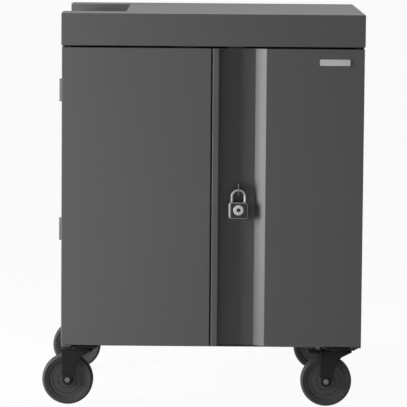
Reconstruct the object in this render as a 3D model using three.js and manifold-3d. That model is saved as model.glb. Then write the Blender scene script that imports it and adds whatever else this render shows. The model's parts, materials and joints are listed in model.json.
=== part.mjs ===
// A two-door laptop charging cart on four swivel casters, with a padlock in the right door's channel.
// Millimetres, +Z up. While the pieces are made, x = 0 is the middle of the cabinet, y = 0 is the front
// face of the doors with +y towards the back, and z = 0 is the floor. The last lines then move the whole
// cart so that its origin is under the middle of its bounding box.

import * as THREE from 'three';
import { mergeVertices } from 'three/addons/utils/BufferGeometryUtils.js';
import Module from 'manifold-3d';

const wasm = await Module();
wasm.setup();

// Fits shared by all pieces
const FIT = 0.3; // gap between two pieces that touch
const FLATNESS = 0.002; // corners this close to a flat face or straight edge are left out of it
const CORNER_STEPS = 4; // straight sides of a rounded corner, unless told otherwise
const PAST = 5; // how far a cutting shape runs past the face it cuts

// Cabinet
const CART_HEIGHT = 977;
const COVER_WIDTH = 746;
const COVER_DEPTH = 660;
const COVER_SKIRT = 79; // height of the top cover's four sides
const COVER_SHEET = 1.2;
const COVER_OVERHANG = 1.5; // cover past each side of the cabinet
const SHEET = 1.5; // side panels, roof, partition and shelf
const SIDE_RETURN = 18; // width of the side panels' folded edges
const ROOF_RAISE = 1; // roof underside above the cover's lower edge
const BASE_SHEET = 2;
const BASE_UPSTAND = 25; // height of the base pan's folded sides
const BASE_SETBACK = 18; // base pan's edge behind the door faces
const TAB_WIDTH = 24; // tabs of the base pan that carry the hinge pins
const TAB_SETBACK = 5; // front edge of a tab behind the door face

// Notch and push handle in the cover's left end
const NOTCH_WIDTH = 156;
const NOTCH_FRONT_RIM = 118;
const NOTCH_REAR_RIM = 100;
const HANDLE_RADIUS = 12.5;
const HANDLE_WALL = 2;
const HANDLE_INSET = 24; // tube axis from the cover's left side
const HANDLE_DROP = 36; // tube axis below the cover's top
const ROSETTE_RADIUS = 15;
const ROSETTE_THICKNESS = 3;

// Doors
const DOOR_SHEET = 1.2;
const DOOR_TOP_GAP = 5; // below the cover's skirt
const DOOR_BOTTOM_GAP = 2; // above the base pan
const DOOR_SPLIT = -2.6; // middle of the gap between the two front doors
const DOOR_SPLIT_GAP = 3.6;
const CHANNEL_LEFT = 15; // left wall of the right door's channel
const CHANNEL_WIDTH = 89.5;
const CHANNEL_DEPTH = 20;
const REVEAL_WIDTH = 26.5; // slanted right wall of the channel
const PIVOT_INSET = 9; // hinge axis from a door's outer edge
const PIVOT_DEPTH = 13; // hinge axis behind a front door's face
const SWING_CLEARANCE = 0.7; // between a door's turning corner and the side panels
const REAR_DOOR_DEPTH = 20;
const REAR_DOOR_SETBACK = 3; // rear door's face in front of the cover's back edge
const REAR_PIVOT_DEPTH = 11;
const VENT_LENGTH = 84;
const VENT_HEIGHT = 6;
const VENT_COLUMNS = 3;
const VENT_ROWS = 6;
const VENT_PITCH_X = 150;
const VENT_PITCH_Z = 18;
const VENT_TOP_DROP = 70; // highest vent below the rear door's top edge

// Hinge pins
const PIN_RADIUS = 3;
const PIN_CLEARANCE = 0.5;
const PIN_COLLAR_RADIUS = 6;
const PIN_REACH = 12; // into the door
const PIN_SIDES = 16;

// Magnet catches under the roof
const CATCH_SIZE = new THREE.Vector3(40, 26, 24);
const CATCH_OFFSET = 60; // from the gap between the doors

// Inside of the cabinet
const DEVICE_BAY_DEPTH = 400;
const SHELF_HEIGHT = 373; // shelf's top above the base pan
const SHELF_LIP = 22;
const SHELF_FLANGE = 15;
const SHELF_SETBACK = 10; // shelf behind the side panels' front edges
const CABLE_SLOT_WIDTH = 500;
const CABLE_SLOT_HEIGHT = 50;
const CABLE_SLOT_DROP = 25; // slot's top below the shelf or the roof
const DIVIDER_COUNT = 10; // in each rack
const DIVIDER_SHEET = 1.5;
const DIVIDER_HEIGHT = 235;
const RACK_FRONT_GAP = 20; // racks behind the shelf's front edge
const RACK_REAR_GAP = 10; // racks in front of the partition
const DIVIDER_CORNER = 60; // radius of a divider's upper front corner
const DIVIDER_CORNER_STEPS = 6;
const RACK_FLOOR = 1.2;

// Power equipment in the adapter bay
const STRIP_LENGTH = 600;
const STRIP_HEIGHT = 44;
const STRIP_THICKNESS = 32;
const STRIP_CHAMFER = 5;
const STRIP_LIFT = 150; // middle of a strip above the base pan or the shelf
const CONTROLLER_WIDTH = 70;
const CONTROLLER_HEIGHT = 200;
const CONTROLLER_FRONT_GAP = 8; // to the back of the outlet strips
const CONTROLLER_REAR_GAP = 30; // to the side panel's rear edge
const CONTROLLER_BOTTOM = 560;
const SWITCH_WIDTH = 22;
const SWITCH_HALF_HEIGHT = 12;
const SWITCH_INNER = 3; // rocker behind its pivot
const SWITCH_OUTER = 4; // rocker's ends in front of its pivot
const SWITCH_VALLEY = 2; // rocker's middle in front of its pivot
const SWITCH_TILT = 8; // degrees, either way
const SWITCH_CLEARANCE = 1.5;
const SWITCH_RECESS_DEPTH = 9;
const SWITCH_DROP = 45; // pivot below the controller's top
const INLET_REAR_INSET = 86; // middle from the left side panel's rear edge
const INLET_HEIGHT = 520;
const INLET_FLANGE = new THREE.Vector2(60, 40);
const INLET_FLANGE_THICKNESS = 2.5;
const INLET_CORNER = 8;
const INLET_BODY = new THREE.Vector2(40, 30);
const INLET_SOCKET = new THREE.Vector2(30, 21);
const INLET_SOCKET_DEPTH = 18;
const INLET_PROUD = 22; // housing's mouth from the flange's back
const INLET_STUB = 21; // housing's end behind the flange, through the panel

// Cord hooks on the left side panel
const HOOK_REAR_INSET = 71; // middle from the side panel's rear edge
const HOOK_UPPER_HEIGHT = 749;
const HOOK_LOWER_HEIGHT = 380;
const HOOK_REACH = 32; // outer face from the side panel
const HOOK_BAR = new THREE.Vector3(6, 26, 60);
const HOOK_FOOT = new THREE.Vector3(3, 44, 36);
const HOOK_STEM_RADIUS = 10;
const HOOK_CORNER = 8;

// Hasp eye, badge and padlock on the right door
const EYE_THICKNESS = 2.5;
const EYE_HEIGHT = 28;
const EYE_FLANGE_SHEET = 1;
const EYE_FLANGE_WIDTH = 40;
const EYE_HOLE_RADIUS = 4.6;
const EYE_TOP_MARGIN = 16; // eye's top above the middle of its hole
const EYE_OVERSTEP = 6; // eye past the middle of its hole towards the front
const BADGE_SIZE = new THREE.Vector3(75, 1, 15.5);
const BADGE_SIDE_INSET = 35;
const BADGE_TOP_INSET = 25;
const BADGE_CORNER = 3;
const BADGE_GLUE = 0.2;
const PADLOCK_MIDDLE = 65; // x of the padlock
const PADLOCK_WIDTH = 48;
const PADLOCK_HEIGHT = 41;
const PADLOCK_THICKNESS = 18;
const PADLOCK_BOTTOM = 472.5;
const PADLOCK_BACK_GAP = 0.7; // to the channel's floor
const PADLOCK_CORNER = 5;
const SHACKLE_ROD_RADIUS = 3.3;
const SHACKLE_HALF_SPAN = 16.4; // from the middle to a leg's axis
const SHACKLE_RISE = 33; // crown's top above the padlock's body
const SHACKLE_LONG_LEG = 26; // inside the body
const SHACKLE_SHORT_LEG = 8;
const SHACKLE_SIDES = 10;
const SHACKLE_STEPS = 40;
const SHACKLE_ARC_POINTS = 12;
const DIAL_RADIUS = 12.7;
const DIAL_HEIGHT = 22; // dial's middle above the body's bottom
const DIAL_POCKET = 3;
const DIAL_PROUD = 0.8;
const DIAL_SIDES = 24;

// Rear door lock
const LOCK_SIDE_INSET = 45; // axis from the rear door's free edge
const LOCK_HEIGHT = 525;
const LOCK_HEAD_RADIUS = 11;
const LOCK_HEAD_THICKNESS = 2;
const LOCK_BODY_RADIUS = 9;
const LOCK_PLUG_RADIUS = 6;
const CAM_LENGTH = 36;
const CAM_WIDTH = 14;
const CAM_THICKNESS = 2.5;
const CAM_CLEARANCE = 0.6; // to the side panel's folded edge
const LOCK_SIDES = 16;

// Casters
const CASTER_HEIGHT = 152;
const CASTER_SIDE_INSET = 49.5; // swivel axis from the cabinet's side
const CASTER_END_INSET = 53; // swivel axis from the front or back of the cover
const PLATE_SIZE = new THREE.Vector3(84, 88, 3.5);
const PLATE_CORNER = 8;
const RACE_RADIUS = 29.5;
const FORK_TOP = 140;
const FORK_SHEET = 3;
const FORK_REAR = -49; // legs' straight rear edge, from the swivel axis
const FORK_NOSE = 29;
const FORK_KNEE = new THREE.Vector2(5, 125);
const FORK_WAIST = new THREE.Vector2(-9.5, 112);
const FORK_END_RADIUS = 14;
const FORK_END_STEPS = 10;
const KINGPIN_RADIUS = 6;
const KINGPIN_NUT_RADIUS = 10;
const KINGPIN_NUT_HEIGHT = 8;
const WHEEL_RADIUS = 63.5;
const WHEEL_TRAIL = 34.5;
const WHEEL_SIDES = 32;
const TYRE_HALF_WIDTH = 16;
const TYRE_TREAD_HALF_WIDTH = 11;
const TYRE_SHOULDER = 5.5; // radial drop from the tread to the tyre's side
const TYRE_THICKNESS = 17.5;
const RIM_HALF_WIDTH = 14;
const RIM_THICKNESS = 6;
const WEB_HALF_WIDTH = 6;
const HUB_RADIUS = 15;
const HUB_SIDE_GAP = 0.6; // between the hub and a fork leg
const FORK_SIDE_GAP = 3.2; // between the tyre and a fork leg
const AXLE_RADIUS = 5;
const AXLE_HEAD_RADIUS = 8;
const AXLE_HEAD_THICKNESS = 5;
const AXLE_SIDES = 16;
const BOLT_SIDES = 6;

// Brake pedals on the right-hand casters
const PEDAL_PIVOT = new THREE.Vector2(-41, 132);
const PEDAL_PIN_RADIUS = 2.5;
const PEDAL_HALF_WIDTH = 15;
const PEDAL_THICKNESS = 4;
const PEDAL_LENGTH = 38;
const PEDAL_RISE = 6; // tip above the pivot
const PEDAL_SIDES = 12;

// Finishes
const CHARCOAL = { color: 0x55575a, roughness: 0.5, metalness: 0.2 };
const INTERIOR = { color: 0x6a6c6f, roughness: 0.55, metalness: 0.2 };
const BRIGHT_STEEL = { color: 0xb9bbbd, roughness: 0.3, metalness: 0.9 };
const DARK_STEEL = { color: 0x1d1e20, roughness: 0.45, metalness: 0.6 };
const BADGE_METAL = { color: 0xb4b6b8, roughness: 0.4, metalness: 0.7 };
const BLACK_PLASTIC = { color: 0x1b1c1d, roughness: 0.55, metalness: 0 };
const GREY_PLASTIC = { color: 0x85878a, roughness: 0.55, metalness: 0 };
const TYRE_RUBBER = { color: 0x2f3032, roughness: 0.8, metalness: 0 };
const PADLOCK_FINISH = { color: 0x7f8082, roughness: 0.4, metalness: 0.6 };
const DIAL_FINISH = { color: 0xc9cbcc, roughness: 0.4, metalness: 0.3 };

// Places worked out from the sizes above
const COVER_HALF = COVER_WIDTH / 2;
const COVER_BOTTOM = CART_HEIGHT - COVER_SKIRT;
const BODY_HALF = COVER_HALF - COVER_OVERHANG;
const SIDE_INNER = BODY_HALF - SHEET;
const ROOF_BOTTOM = COVER_BOTTOM + ROOF_RAISE;
const ROOF_TOP = ROOF_BOTTOM + SHEET;
const BASE_TOP = CASTER_HEIGHT + BASE_SHEET;
const CLEAR_HALF = SIDE_INNER - BASE_SHEET - 2 * FIT; // between the base pan's upstands
const DOOR_TOP = COVER_BOTTOM - DOOR_TOP_GAP;
const DOOR_BOTTOM = BASE_TOP + DOOR_BOTTOM_GAP;
const DOOR_DEPTH = CHANNEL_DEPTH + 2 * DOOR_SHEET + EYE_FLANGE_SHEET + 2 * FIT;
const DOOR_PIVOT_X = BODY_HALF - PIVOT_INSET;
const LEFT_DOOR_EDGE = DOOR_SPLIT - DOOR_SPLIT_GAP / 2;
const RIGHT_DOOR_EDGE = DOOR_SPLIT + DOOR_SPLIT_GAP / 2;
const CHANNEL_RIGHT = CHANNEL_LEFT + CHANNEL_WIDTH;
const swingReach = (pivotDepth, doorDepth) =>
  pivotDepth + Math.hypot(PIVOT_INSET, Math.max(pivotDepth, doorDepth - pivotDepth)) + SWING_CLEARANCE;
const CARCASS_FRONT = swingReach(PIVOT_DEPTH, DOOR_DEPTH);
const REAR_DOOR_FACE = COVER_DEPTH - REAR_DOOR_SETBACK;
const REAR_DOOR_INNER = REAR_DOOR_FACE - REAR_DOOR_DEPTH;
const REAR_PIVOT_Y = REAR_DOOR_FACE - REAR_PIVOT_DEPTH;
const CARCASS_REAR = REAR_DOOR_FACE - swingReach(REAR_PIVOT_DEPTH, REAR_DOOR_DEPTH);
const PARTITION_FRONT = CARCASS_FRONT + DEVICE_BAY_DEPTH;
const PARTITION_REAR = PARTITION_FRONT + SHEET;
const SHELF_TOP = BASE_TOP + SHELF_HEIGHT;
const SHELF_FRONT = CARCASS_FRONT + SHELF_SETBACK;
const PADLOCK_Y = CHANNEL_DEPTH - PADLOCK_BACK_GAP - PADLOCK_THICKNESS / 2;
const PADLOCK_TOP = PADLOCK_BOTTOM + PADLOCK_HEIGHT;
const SHACKLE_CROWN = PADLOCK_TOP + SHACKLE_RISE - SHACKLE_ROD_RADIUS; // axis of the rod at the top
const LOCK_X = -BODY_HALF + LOCK_SIDE_INSET;
const INLET_MIDDLE = [CARCASS_REAR - INLET_REAR_INSET, INLET_HEIGHT];
const HOOK_Y = CARCASS_REAR - HOOK_REAR_INSET;
const CAM_REAR = CARCASS_REAR - SHEET - CAM_CLEARANCE;
const FORK_INNER = TYRE_HALF_WIDTH + FORK_SIDE_GAP;
const FORK_OUTER = FORK_INNER + FORK_SHEET;

// Solid making

// A closed three.js geometry as a solid: shared corners merged and slivers of zero width left out.
function toSolid(geometry) {
  const bare = geometry.clone();
  bare.deleteAttribute('normal');
  bare.deleteAttribute('uv');
  const merged = mergeVertices(bare);
  const corners = Array.from(merged.index.array);
  const triangles = [];
  for (let i = 0; i < corners.length; i += 3) {
    const [a, b, c] = corners.slice(i, i + 3);
    if (a !== b && b !== c && c !== a) {
      triangles.push(a, b, c);
    }
  }
  const vertProperties = new Float32Array(merged.attributes.position.array);
  const triVerts = new Uint32Array(triangles);
  return new wasm.Manifold(new wasm.Mesh({ numProp: 3, vertProperties, triVerts }));
}

// A solid as a three.js geometry, with the cut-up flat faces that joins leave behind made whole.
function toGeometry(solid) {
  const mesh = solid.asOriginal().simplify(FLATNESS).getMesh();
  const geometry = new THREE.BufferGeometry();
  geometry.setAttribute('position', new THREE.BufferAttribute(new Float32Array(mesh.vertProperties), 3));
  geometry.setIndex(new THREE.BufferAttribute(new Uint32Array(mesh.triVerts), 1));
  geometry.computeVertexNormals();
  return geometry;
}

const join = (first, ...others) => others.reduce((whole, piece) => whole.add(piece), first);
const cut = (first, ...tools) => tools.reduce((whole, tool) => whole.subtract(tool), first);

// How an outline's two axes and its thickness lie for a prism along each axis.
const X = new THREE.Vector3(1, 0, 0);
const Y = new THREE.Vector3(0, 1, 0);
const Z = new THREE.Vector3(0, 0, 1);
const PRISM_BASES = {
  x: { basis: [Y, Z, X], component: 0, start: (from) => X.clone().multiplyScalar(from) },
  y: { basis: [X, Z, Y.clone().negate()], component: 1, start: (from, to) => Y.clone().multiplyScalar(to) },
  z: { basis: [X, Y, Z], component: 2, start: (from) => Z.clone().multiplyScalar(from) },
};

// An outline carried along an axis. Its points are (y, z) for x, (x, z) for y and (x, y) for z.
// Both ends are set to the exact values asked for, so that pieces meant to be flush are flush.
function prism(points, axis, [from, to]) {
  const shape = new THREE.Shape(points.map(([u, v]) => new THREE.Vector2(u, v)));
  const geometry = new THREE.ExtrudeGeometry(shape, { depth: to - from, bevelEnabled: false });
  const { basis, start, component } = PRISM_BASES[axis];
  geometry.applyMatrix4(new THREE.Matrix4().makeBasis(...basis).setPosition(start(from, to)));
  const position = geometry.attributes.position;
  for (let i = 0; i < position.count; i += 1) {
    const value = position.getComponent(i, component);
    position.setComponent(i, component, value < (from + to) / 2 ? from : to);
  }
  return toSolid(geometry);
}

// A block between two values along each axis.
function block([x0, x1], [y0, y1], heights) {
  return prism([[x0, y0], [x1, y0], [x1, y1], [x0, y1]], 'z', heights);
}

// Points of an arc, ends included, with angles in degrees.
function arc([u, v], radius, startAngle, endAngle, steps) {
  return Array.from({ length: steps + 1 }, (_, i) => {
    const angle = THREE.MathUtils.degToRad(startAngle + ((endAngle - startAngle) * i) / steps);
    return [u + radius * Math.cos(angle), v + radius * Math.sin(angle)];
  });
}

// A round rod along an axis, as a prism with the given number of sides.
function rod(centre, radius, axis, span, sides) {
  return prism(arc(centre, radius, 0, 360, sides).slice(0, -1), axis, span);
}

function roundedRectangle([u0, u1], [v0, v1], radius, steps = CORNER_STEPS) {
  return [
    ...arc([u1 - radius, v0 + radius], radius, -90, 0, steps),
    ...arc([u1 - radius, v1 - radius], radius, 0, 90, steps),
    ...arc([u0 + radius, v1 - radius], radius, 90, 180, steps),
    ...arc([u0 + radius, v0 + radius], radius, 180, 270, steps),
  ];
}

// A ring turned about the y axis from a closed profile of [radius, y], with a flat side downwards.
function turned(profile, sides) {
  const grow = 1 / Math.cos(Math.PI / sides);
  const points = [...profile, profile[0]].map(([radius, y]) => new THREE.Vector2(radius * grow, y));
  return toSolid(new THREE.LatheGeometry(points, sides, Math.PI / sides));
}

const around = (middle, size) => [middle - size / 2, middle + size / 2];

const cart = new THREE.Group();

function place(name, solid, finish, parent = cart) {
  const mesh = new THREE.Mesh(toGeometry(solid), new THREE.MeshStandardMaterial(finish));
  mesh.name = name;
  parent.add(mesh);
  return mesh;
}

// Cabinet panels

function basePan() {
  const floor = block(
    [-BODY_HALF, BODY_HALF],
    [BASE_SETBACK, REAR_DOOR_FACE - BASE_SETBACK],
    [CASTER_HEIGHT, BASE_TOP],
  );
  const upstands = [-1, 1].map((side) => {
    const outer = side * (SIDE_INNER - FIT);
    const inner = side * (SIDE_INNER - FIT - BASE_SHEET);
    return block(
      [Math.min(outer, inner), Math.max(outer, inner)],
      [CARCASS_FRONT + SHEET + FIT, CARCASS_REAR - SHEET - FIT],
      [CASTER_HEIGHT, BASE_TOP + BASE_UPSTAND],
    );
  });
  const tab = ([x0, x1], [y0, y1]) => block([x0, x1], [y0, y1], [CASTER_HEIGHT, BASE_TOP]);
  const tabs = [
    tab([-BODY_HALF, -BODY_HALF + TAB_WIDTH], [TAB_SETBACK, BASE_SETBACK + PAST]),
    tab([BODY_HALF - TAB_WIDTH, BODY_HALF], [TAB_SETBACK, BASE_SETBACK + PAST]),
    tab([BODY_HALF - TAB_WIDTH, BODY_HALF],
      [REAR_DOOR_FACE - BASE_SETBACK - PAST, REAR_DOOR_FACE - TAB_SETBACK]),
  ];
  return join(floor, ...upstands, ...tabs);
}

// A side panel, C-shaped seen from above, with folded front and rear edges; side is -1 left and 1 right.
function sidePanel(side) {
  const fold = BODY_HALF - SIDE_RETURN;
  const outline = [
    [fold, CARCASS_FRONT],
    [BODY_HALF, CARCASS_FRONT],
    [BODY_HALF, CARCASS_REAR],
    [fold, CARCASS_REAR],
    [fold, CARCASS_REAR - SHEET],
    [SIDE_INNER, CARCASS_REAR - SHEET],
    [SIDE_INNER, CARCASS_FRONT + SHEET],
    [fold, CARCASS_FRONT + SHEET],
  ];
  return prism(outline.map(([x, y]) => [side * x, y]), 'z', [BASE_TOP + FIT, ROOF_BOTTOM - FIT]);
}

function inletCutout() {
  return block(
    [-BODY_HALF - PAST, -SIDE_INNER + PAST],
    around(INLET_MIDDLE[0], INLET_BODY.x + 2 * FIT),
    around(INLET_MIDDLE[1], INLET_BODY.y + 2 * FIT),
  );
}

function roofPanel() {
  const edge = COVER_SHEET + FIT;
  return block([-BODY_HALF, BODY_HALF], [edge, COVER_DEPTH - edge], [ROOF_BOTTOM, ROOF_TOP]);
}

// The cover is a shallow box, open below, with a box-shaped notch let into its left end.
function topCover() {
  const outside = block([-COVER_HALF, COVER_HALF], [0, COVER_DEPTH], [COVER_BOTTOM, CART_HEIGHT]);
  const inside = block(
    [-COVER_HALF + COVER_SHEET, COVER_HALF - COVER_SHEET],
    [COVER_SHEET, COVER_DEPTH - COVER_SHEET],
    [COVER_BOTTOM - PAST, CART_HEIGHT - COVER_SHEET],
  );
  const notch = (left, wall, top) => block(
    [left, -COVER_HALF + NOTCH_WIDTH + wall],
    [NOTCH_FRONT_RIM - wall, COVER_DEPTH - NOTCH_REAR_RIM + wall],
    [ROOF_TOP + FIT + COVER_SHEET - wall, top],
  );
  const notchWalls = notch(-COVER_HALF, COVER_SHEET, CART_HEIGHT);
  const notchSpace = notch(-COVER_HALF - PAST, 0, CART_HEIGHT + PAST);
  return cut(outside, cut(inside, notchWalls), notchSpace);
}

function pushHandle() {
  const middle = [-COVER_HALF + HANDLE_INSET, CART_HEIGHT - HANDLE_DROP];
  const front = NOTCH_FRONT_RIM + FIT;
  const rear = COVER_DEPTH - NOTCH_REAR_RIM - FIT;
  const rosette = (from, to) => rod(middle, ROSETTE_RADIUS, 'y', [from, to], PIN_SIDES);
  const bar = join(
    rod(middle, HANDLE_RADIUS, 'y', [front, rear], PIN_SIDES),
    rosette(front, front + ROSETTE_THICKNESS),
    rosette(rear - ROSETTE_THICKNESS, rear),
  );
  return cut(bar, rod(middle, HANDLE_RADIUS - HANDLE_WALL, 'y', [front - PAST, rear + PAST], PIN_SIDES));
}

function partitionPanel() {
  const panel = block(
    [-CLEAR_HALF, CLEAR_HALF],
    [PARTITION_FRONT, PARTITION_REAR],
    [BASE_TOP + FIT, ROOF_BOTTOM - FIT],
  );
  const cableSlots = [SHELF_TOP - SHEET - SHELF_FLANGE, ROOF_BOTTOM].map((ceiling) => block(
    around(0, CABLE_SLOT_WIDTH),
    [PARTITION_FRONT - PAST, PARTITION_REAR + PAST],
    [ceiling - CABLE_SLOT_DROP - CABLE_SLOT_HEIGHT, ceiling - CABLE_SLOT_DROP],
  ));
  return cut(panel, ...cableSlots);
}

function deviceShelf() {
  const half = SIDE_INNER - FIT;
  const rear = PARTITION_FRONT - FIT;
  const deck = block([-half, half], [SHELF_FRONT, rear], [SHELF_TOP - SHEET, SHELF_TOP]);
  const lip = block([-half, half], [SHELF_FRONT, SHELF_FRONT + SHEET], [SHELF_TOP - SHELF_LIP, SHELF_TOP]);
  const flange = ([x0, x1]) => block([x0, x1], [SHELF_FRONT, rear], [SHELF_TOP - SHELF_FLANGE, SHELF_TOP]);
  return join(deck, lip, flange([-half, -half + SHEET]), flange([half - SHEET, half]));
}

// A floor plate with upright dividers in an even row, standing on a surface at the given height.
function dividerRack(surface) {
  const bottom = surface + FIT;
  const front = SHELF_FRONT + RACK_FRONT_GAP;
  const rear = PARTITION_FRONT - RACK_REAR_GAP;
  const top = bottom + DIVIDER_HEIGHT;
  const outline = [
    [front, bottom],
    [rear, bottom],
    [rear, top],
    ...arc([front + DIVIDER_CORNER, top - DIVIDER_CORNER], DIVIDER_CORNER, 90, 180, DIVIDER_CORNER_STEPS),
  ];
  const pitch = (2 * CLEAR_HALF) / (DIVIDER_COUNT + 1);
  const dividers = Array.from({ length: DIVIDER_COUNT }, (_, i) =>
    prism(outline, 'x', around(-CLEAR_HALF + pitch * (i + 1), DIVIDER_SHEET)));
  const floor = block([-CLEAR_HALF, CLEAR_HALF], [front, rear], [bottom, bottom + RACK_FLOOR]);
  return join(floor, ...dividers);
}

// Hinge pins and catches

// A pin with a collar: the collar fills the gap beside the door and the pin reaches into it.
function hingePin([x, y], seat, door) {
  const up = Math.sign(door - seat);
  const span = (a, b) => [Math.min(a, b), Math.max(a, b)];
  return join(
    rod([x, y], PIN_COLLAR_RADIUS, 'z', span(seat + up * FIT, door - up * FIT), PIN_SIDES),
    rod([x, y], PIN_RADIUS, 'z', span(seat + up * FIT, door + up * PIN_REACH), PIN_SIDES),
  );
}

const topPin = (point) => hingePin(point, ROOF_BOTTOM, DOOR_TOP);
const bottomPin = (point) => hingePin(point, BASE_TOP, DOOR_BOTTOM);

function pinHole([x, y]) {
  const span = [DOOR_BOTTOM - PAST, DOOR_TOP + PAST];
  return rod([x, y], PIN_RADIUS + PIN_CLEARANCE, 'z', span, PIN_SIDES);
}

function magnetCatch(side) {
  const front = DOOR_DEPTH + FIT;
  return block(
    around(DOOR_SPLIT + side * CATCH_OFFSET, CATCH_SIZE.x),
    [front, front + CATCH_SIZE.y],
    [ROOF_BOTTOM - FIT - CATCH_SIZE.z, ROOF_BOTTOM - FIT],
  );
}

// Power equipment

const STRIP_FRONT = PARTITION_REAR + FIT;
const STRIP_REAR = STRIP_FRONT + STRIP_THICKNESS;

function outletStrip(surface) {
  const [low, high] = around(surface + STRIP_LIFT, STRIP_HEIGHT);
  const outline = [
    [STRIP_FRONT, low],
    [STRIP_REAR - STRIP_CHAMFER, low],
    [STRIP_REAR, low + STRIP_CHAMFER],
    [STRIP_REAR, high - STRIP_CHAMFER],
    [STRIP_REAR - STRIP_CHAMFER, high],
    [STRIP_FRONT, high],
  ];
  return prism(outline, 'x', around(0, STRIP_LENGTH));
}

const CONTROLLER_LEFT = -SIDE_INNER + FIT;
const CONTROLLER_REAR = CARCASS_REAR - CONTROLLER_REAR_GAP;
const SWITCH_X = CONTROLLER_LEFT + CONTROLLER_WIDTH / 2;
const SWITCH_Z = CONTROLLER_BOTTOM + CONTROLLER_HEIGHT - SWITCH_DROP;

function powerController() {
  const box = block(
    [CONTROLLER_LEFT, CONTROLLER_LEFT + CONTROLLER_WIDTH],
    [STRIP_REAR + CONTROLLER_FRONT_GAP, CONTROLLER_REAR],
    [CONTROLLER_BOTTOM, CONTROLLER_BOTTOM + CONTROLLER_HEIGHT],
  );
  const recess = block(
    around(SWITCH_X, SWITCH_WIDTH + 2 * FIT),
    [CONTROLLER_REAR - SWITCH_RECESS_DEPTH, CONTROLLER_REAR + PAST],
    around(SWITCH_Z, 2 * (SWITCH_HALF_HEIGHT + SWITCH_CLEARANCE)),
  );
  return cut(box, recess);
}

// A rocker with a shallow valley, tilted about its pivot on the controller's face.
function powerSwitch() {
  const outline = [
    [-SWITCH_INNER, -SWITCH_HALF_HEIGHT],
    [SWITCH_OUTER, -SWITCH_HALF_HEIGHT],
    [SWITCH_VALLEY, 0],
    [SWITCH_OUTER, SWITCH_HALF_HEIGHT],
    [-SWITCH_INNER, SWITCH_HALF_HEIGHT],
  ];
  return prism(outline, 'x', around(0, SWITCH_WIDTH));
}

// A housing on the left side panel: a flange, a mouth that stands proud and a stub through the panel.
function powerInlet() {
  const wall = -BODY_HALF - FIT;
  const mouth = wall - INLET_PROUD;
  const outline = roundedRectangle(
    around(INLET_MIDDLE[0], INLET_FLANGE.x),
    around(INLET_MIDDLE[1], INLET_FLANGE.y),
    INLET_CORNER,
  );
  const flange = prism(outline, 'x', [wall - INLET_FLANGE_THICKNESS, wall]);
  const body = block(
    [mouth, wall + INLET_STUB],
    around(INLET_MIDDLE[0], INLET_BODY.x),
    around(INLET_MIDDLE[1], INLET_BODY.y),
  );
  const socket = block(
    [mouth - PAST, mouth + INLET_SOCKET_DEPTH],
    around(INLET_MIDDLE[0], INLET_SOCKET.x),
    around(INLET_MIDDLE[1], INLET_SOCKET.y),
  );
  return cut(join(flange, body), socket);
}

// A foot on the side panel, a stem and an upright bar that keeps the wound cord on.
function cordHook(height) {
  const wall = -BODY_HALF - FIT;
  const outer = -BODY_HALF - HOOK_REACH;
  const foot = roundedRectangle(around(HOOK_Y, HOOK_FOOT.y), around(height, HOOK_FOOT.z), HOOK_CORNER);
  const bar = roundedRectangle(around(HOOK_Y, HOOK_BAR.y), around(height, HOOK_BAR.z), HOOK_CORNER);
  const stemSpan = [outer + HOOK_BAR.x / 2, wall - HOOK_FOOT.x / 2];
  return join(
    prism(foot, 'x', [wall - HOOK_FOOT.x, wall]),
    prism(bar, 'x', [outer, outer + HOOK_BAR.x]),
    rod([HOOK_Y, height], HOOK_STEM_RADIUS, 'x', stemSpan, PIN_SIDES),
  );
}

// Front doors

const DOOR_HEIGHTS = [DOOR_BOTTOM, DOOR_TOP];
const DOOR_INSIDE_HEIGHTS = [DOOR_BOTTOM + DOOR_SHEET, DOOR_TOP - DOOR_SHEET];

function leftDoor() {
  const outside = block([-BODY_HALF, LEFT_DOOR_EDGE], [0, DOOR_DEPTH], DOOR_HEIGHTS);
  const inside = block(
    [-BODY_HALF + DOOR_SHEET, LEFT_DOOR_EDGE - DOOR_SHEET],
    [DOOR_SHEET, DOOR_DEPTH + PAST],
    DOOR_INSIDE_HEIGHTS,
  );
  return cut(outside, inside, pinHole([-DOOR_PIVOT_X, PIVOT_DEPTH]));
}

// The right door's sheet is folded into a channel: a square left wall, a floor and a slanted right wall.
function rightDoor() {
  const turn = Math.atan2(CHANNEL_DEPTH, REVEAL_WIDTH);
  const mitre = DOOR_SHEET * Math.tan(turn / 2);
  const section = (inset, shift, back) => [
    [RIGHT_DOOR_EDGE + inset, inset],
    [CHANNEL_LEFT - inset, inset],
    [CHANNEL_LEFT - inset, CHANNEL_DEPTH + inset],
    [CHANNEL_RIGHT + shift, CHANNEL_DEPTH + inset],
    [CHANNEL_RIGHT + REVEAL_WIDTH + shift, inset],
    [BODY_HALF - inset, inset],
    [BODY_HALF - inset, back],
    [RIGHT_DOOR_EDGE + inset, back],
  ];
  const outside = prism(section(0, 0, DOOR_DEPTH), 'z', DOOR_HEIGHTS);
  const inside = prism(section(DOOR_SHEET, mitre, DOOR_DEPTH + PAST), 'z', DOOR_INSIDE_HEIGHTS);
  const eyeSlot = block(
    around(PADLOCK_MIDDLE, EYE_THICKNESS + 2 * FIT),
    [CHANNEL_DEPTH - PAST, CHANNEL_DEPTH + DOOR_SHEET + PAST],
    [EYE_TOP - EYE_HEIGHT - FIT, EYE_TOP + FIT],
  );
  return cut(outside, inside, eyeSlot, pinHole([DOOR_PIVOT_X, PIVOT_DEPTH]));
}

// The flat inner panel that closes a door pan from behind.
function doorLiner(left, right) {
  const inset = DOOR_SHEET + FIT;
  return block(
    [left + inset, right - inset],
    [DOOR_DEPTH - DOOR_SHEET, DOOR_DEPTH],
    [DOOR_BOTTOM + inset, DOOR_TOP - inset],
  );
}

// The shackle hangs in the eye, so the hole's lower edge is one fit below the rod.
const EYE_HOLE_Z = SHACKLE_CROWN - SHACKLE_ROD_RADIUS - FIT + EYE_HOLE_RADIUS;
const EYE_TOP = EYE_HOLE_Z + EYE_TOP_MARGIN;

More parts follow.
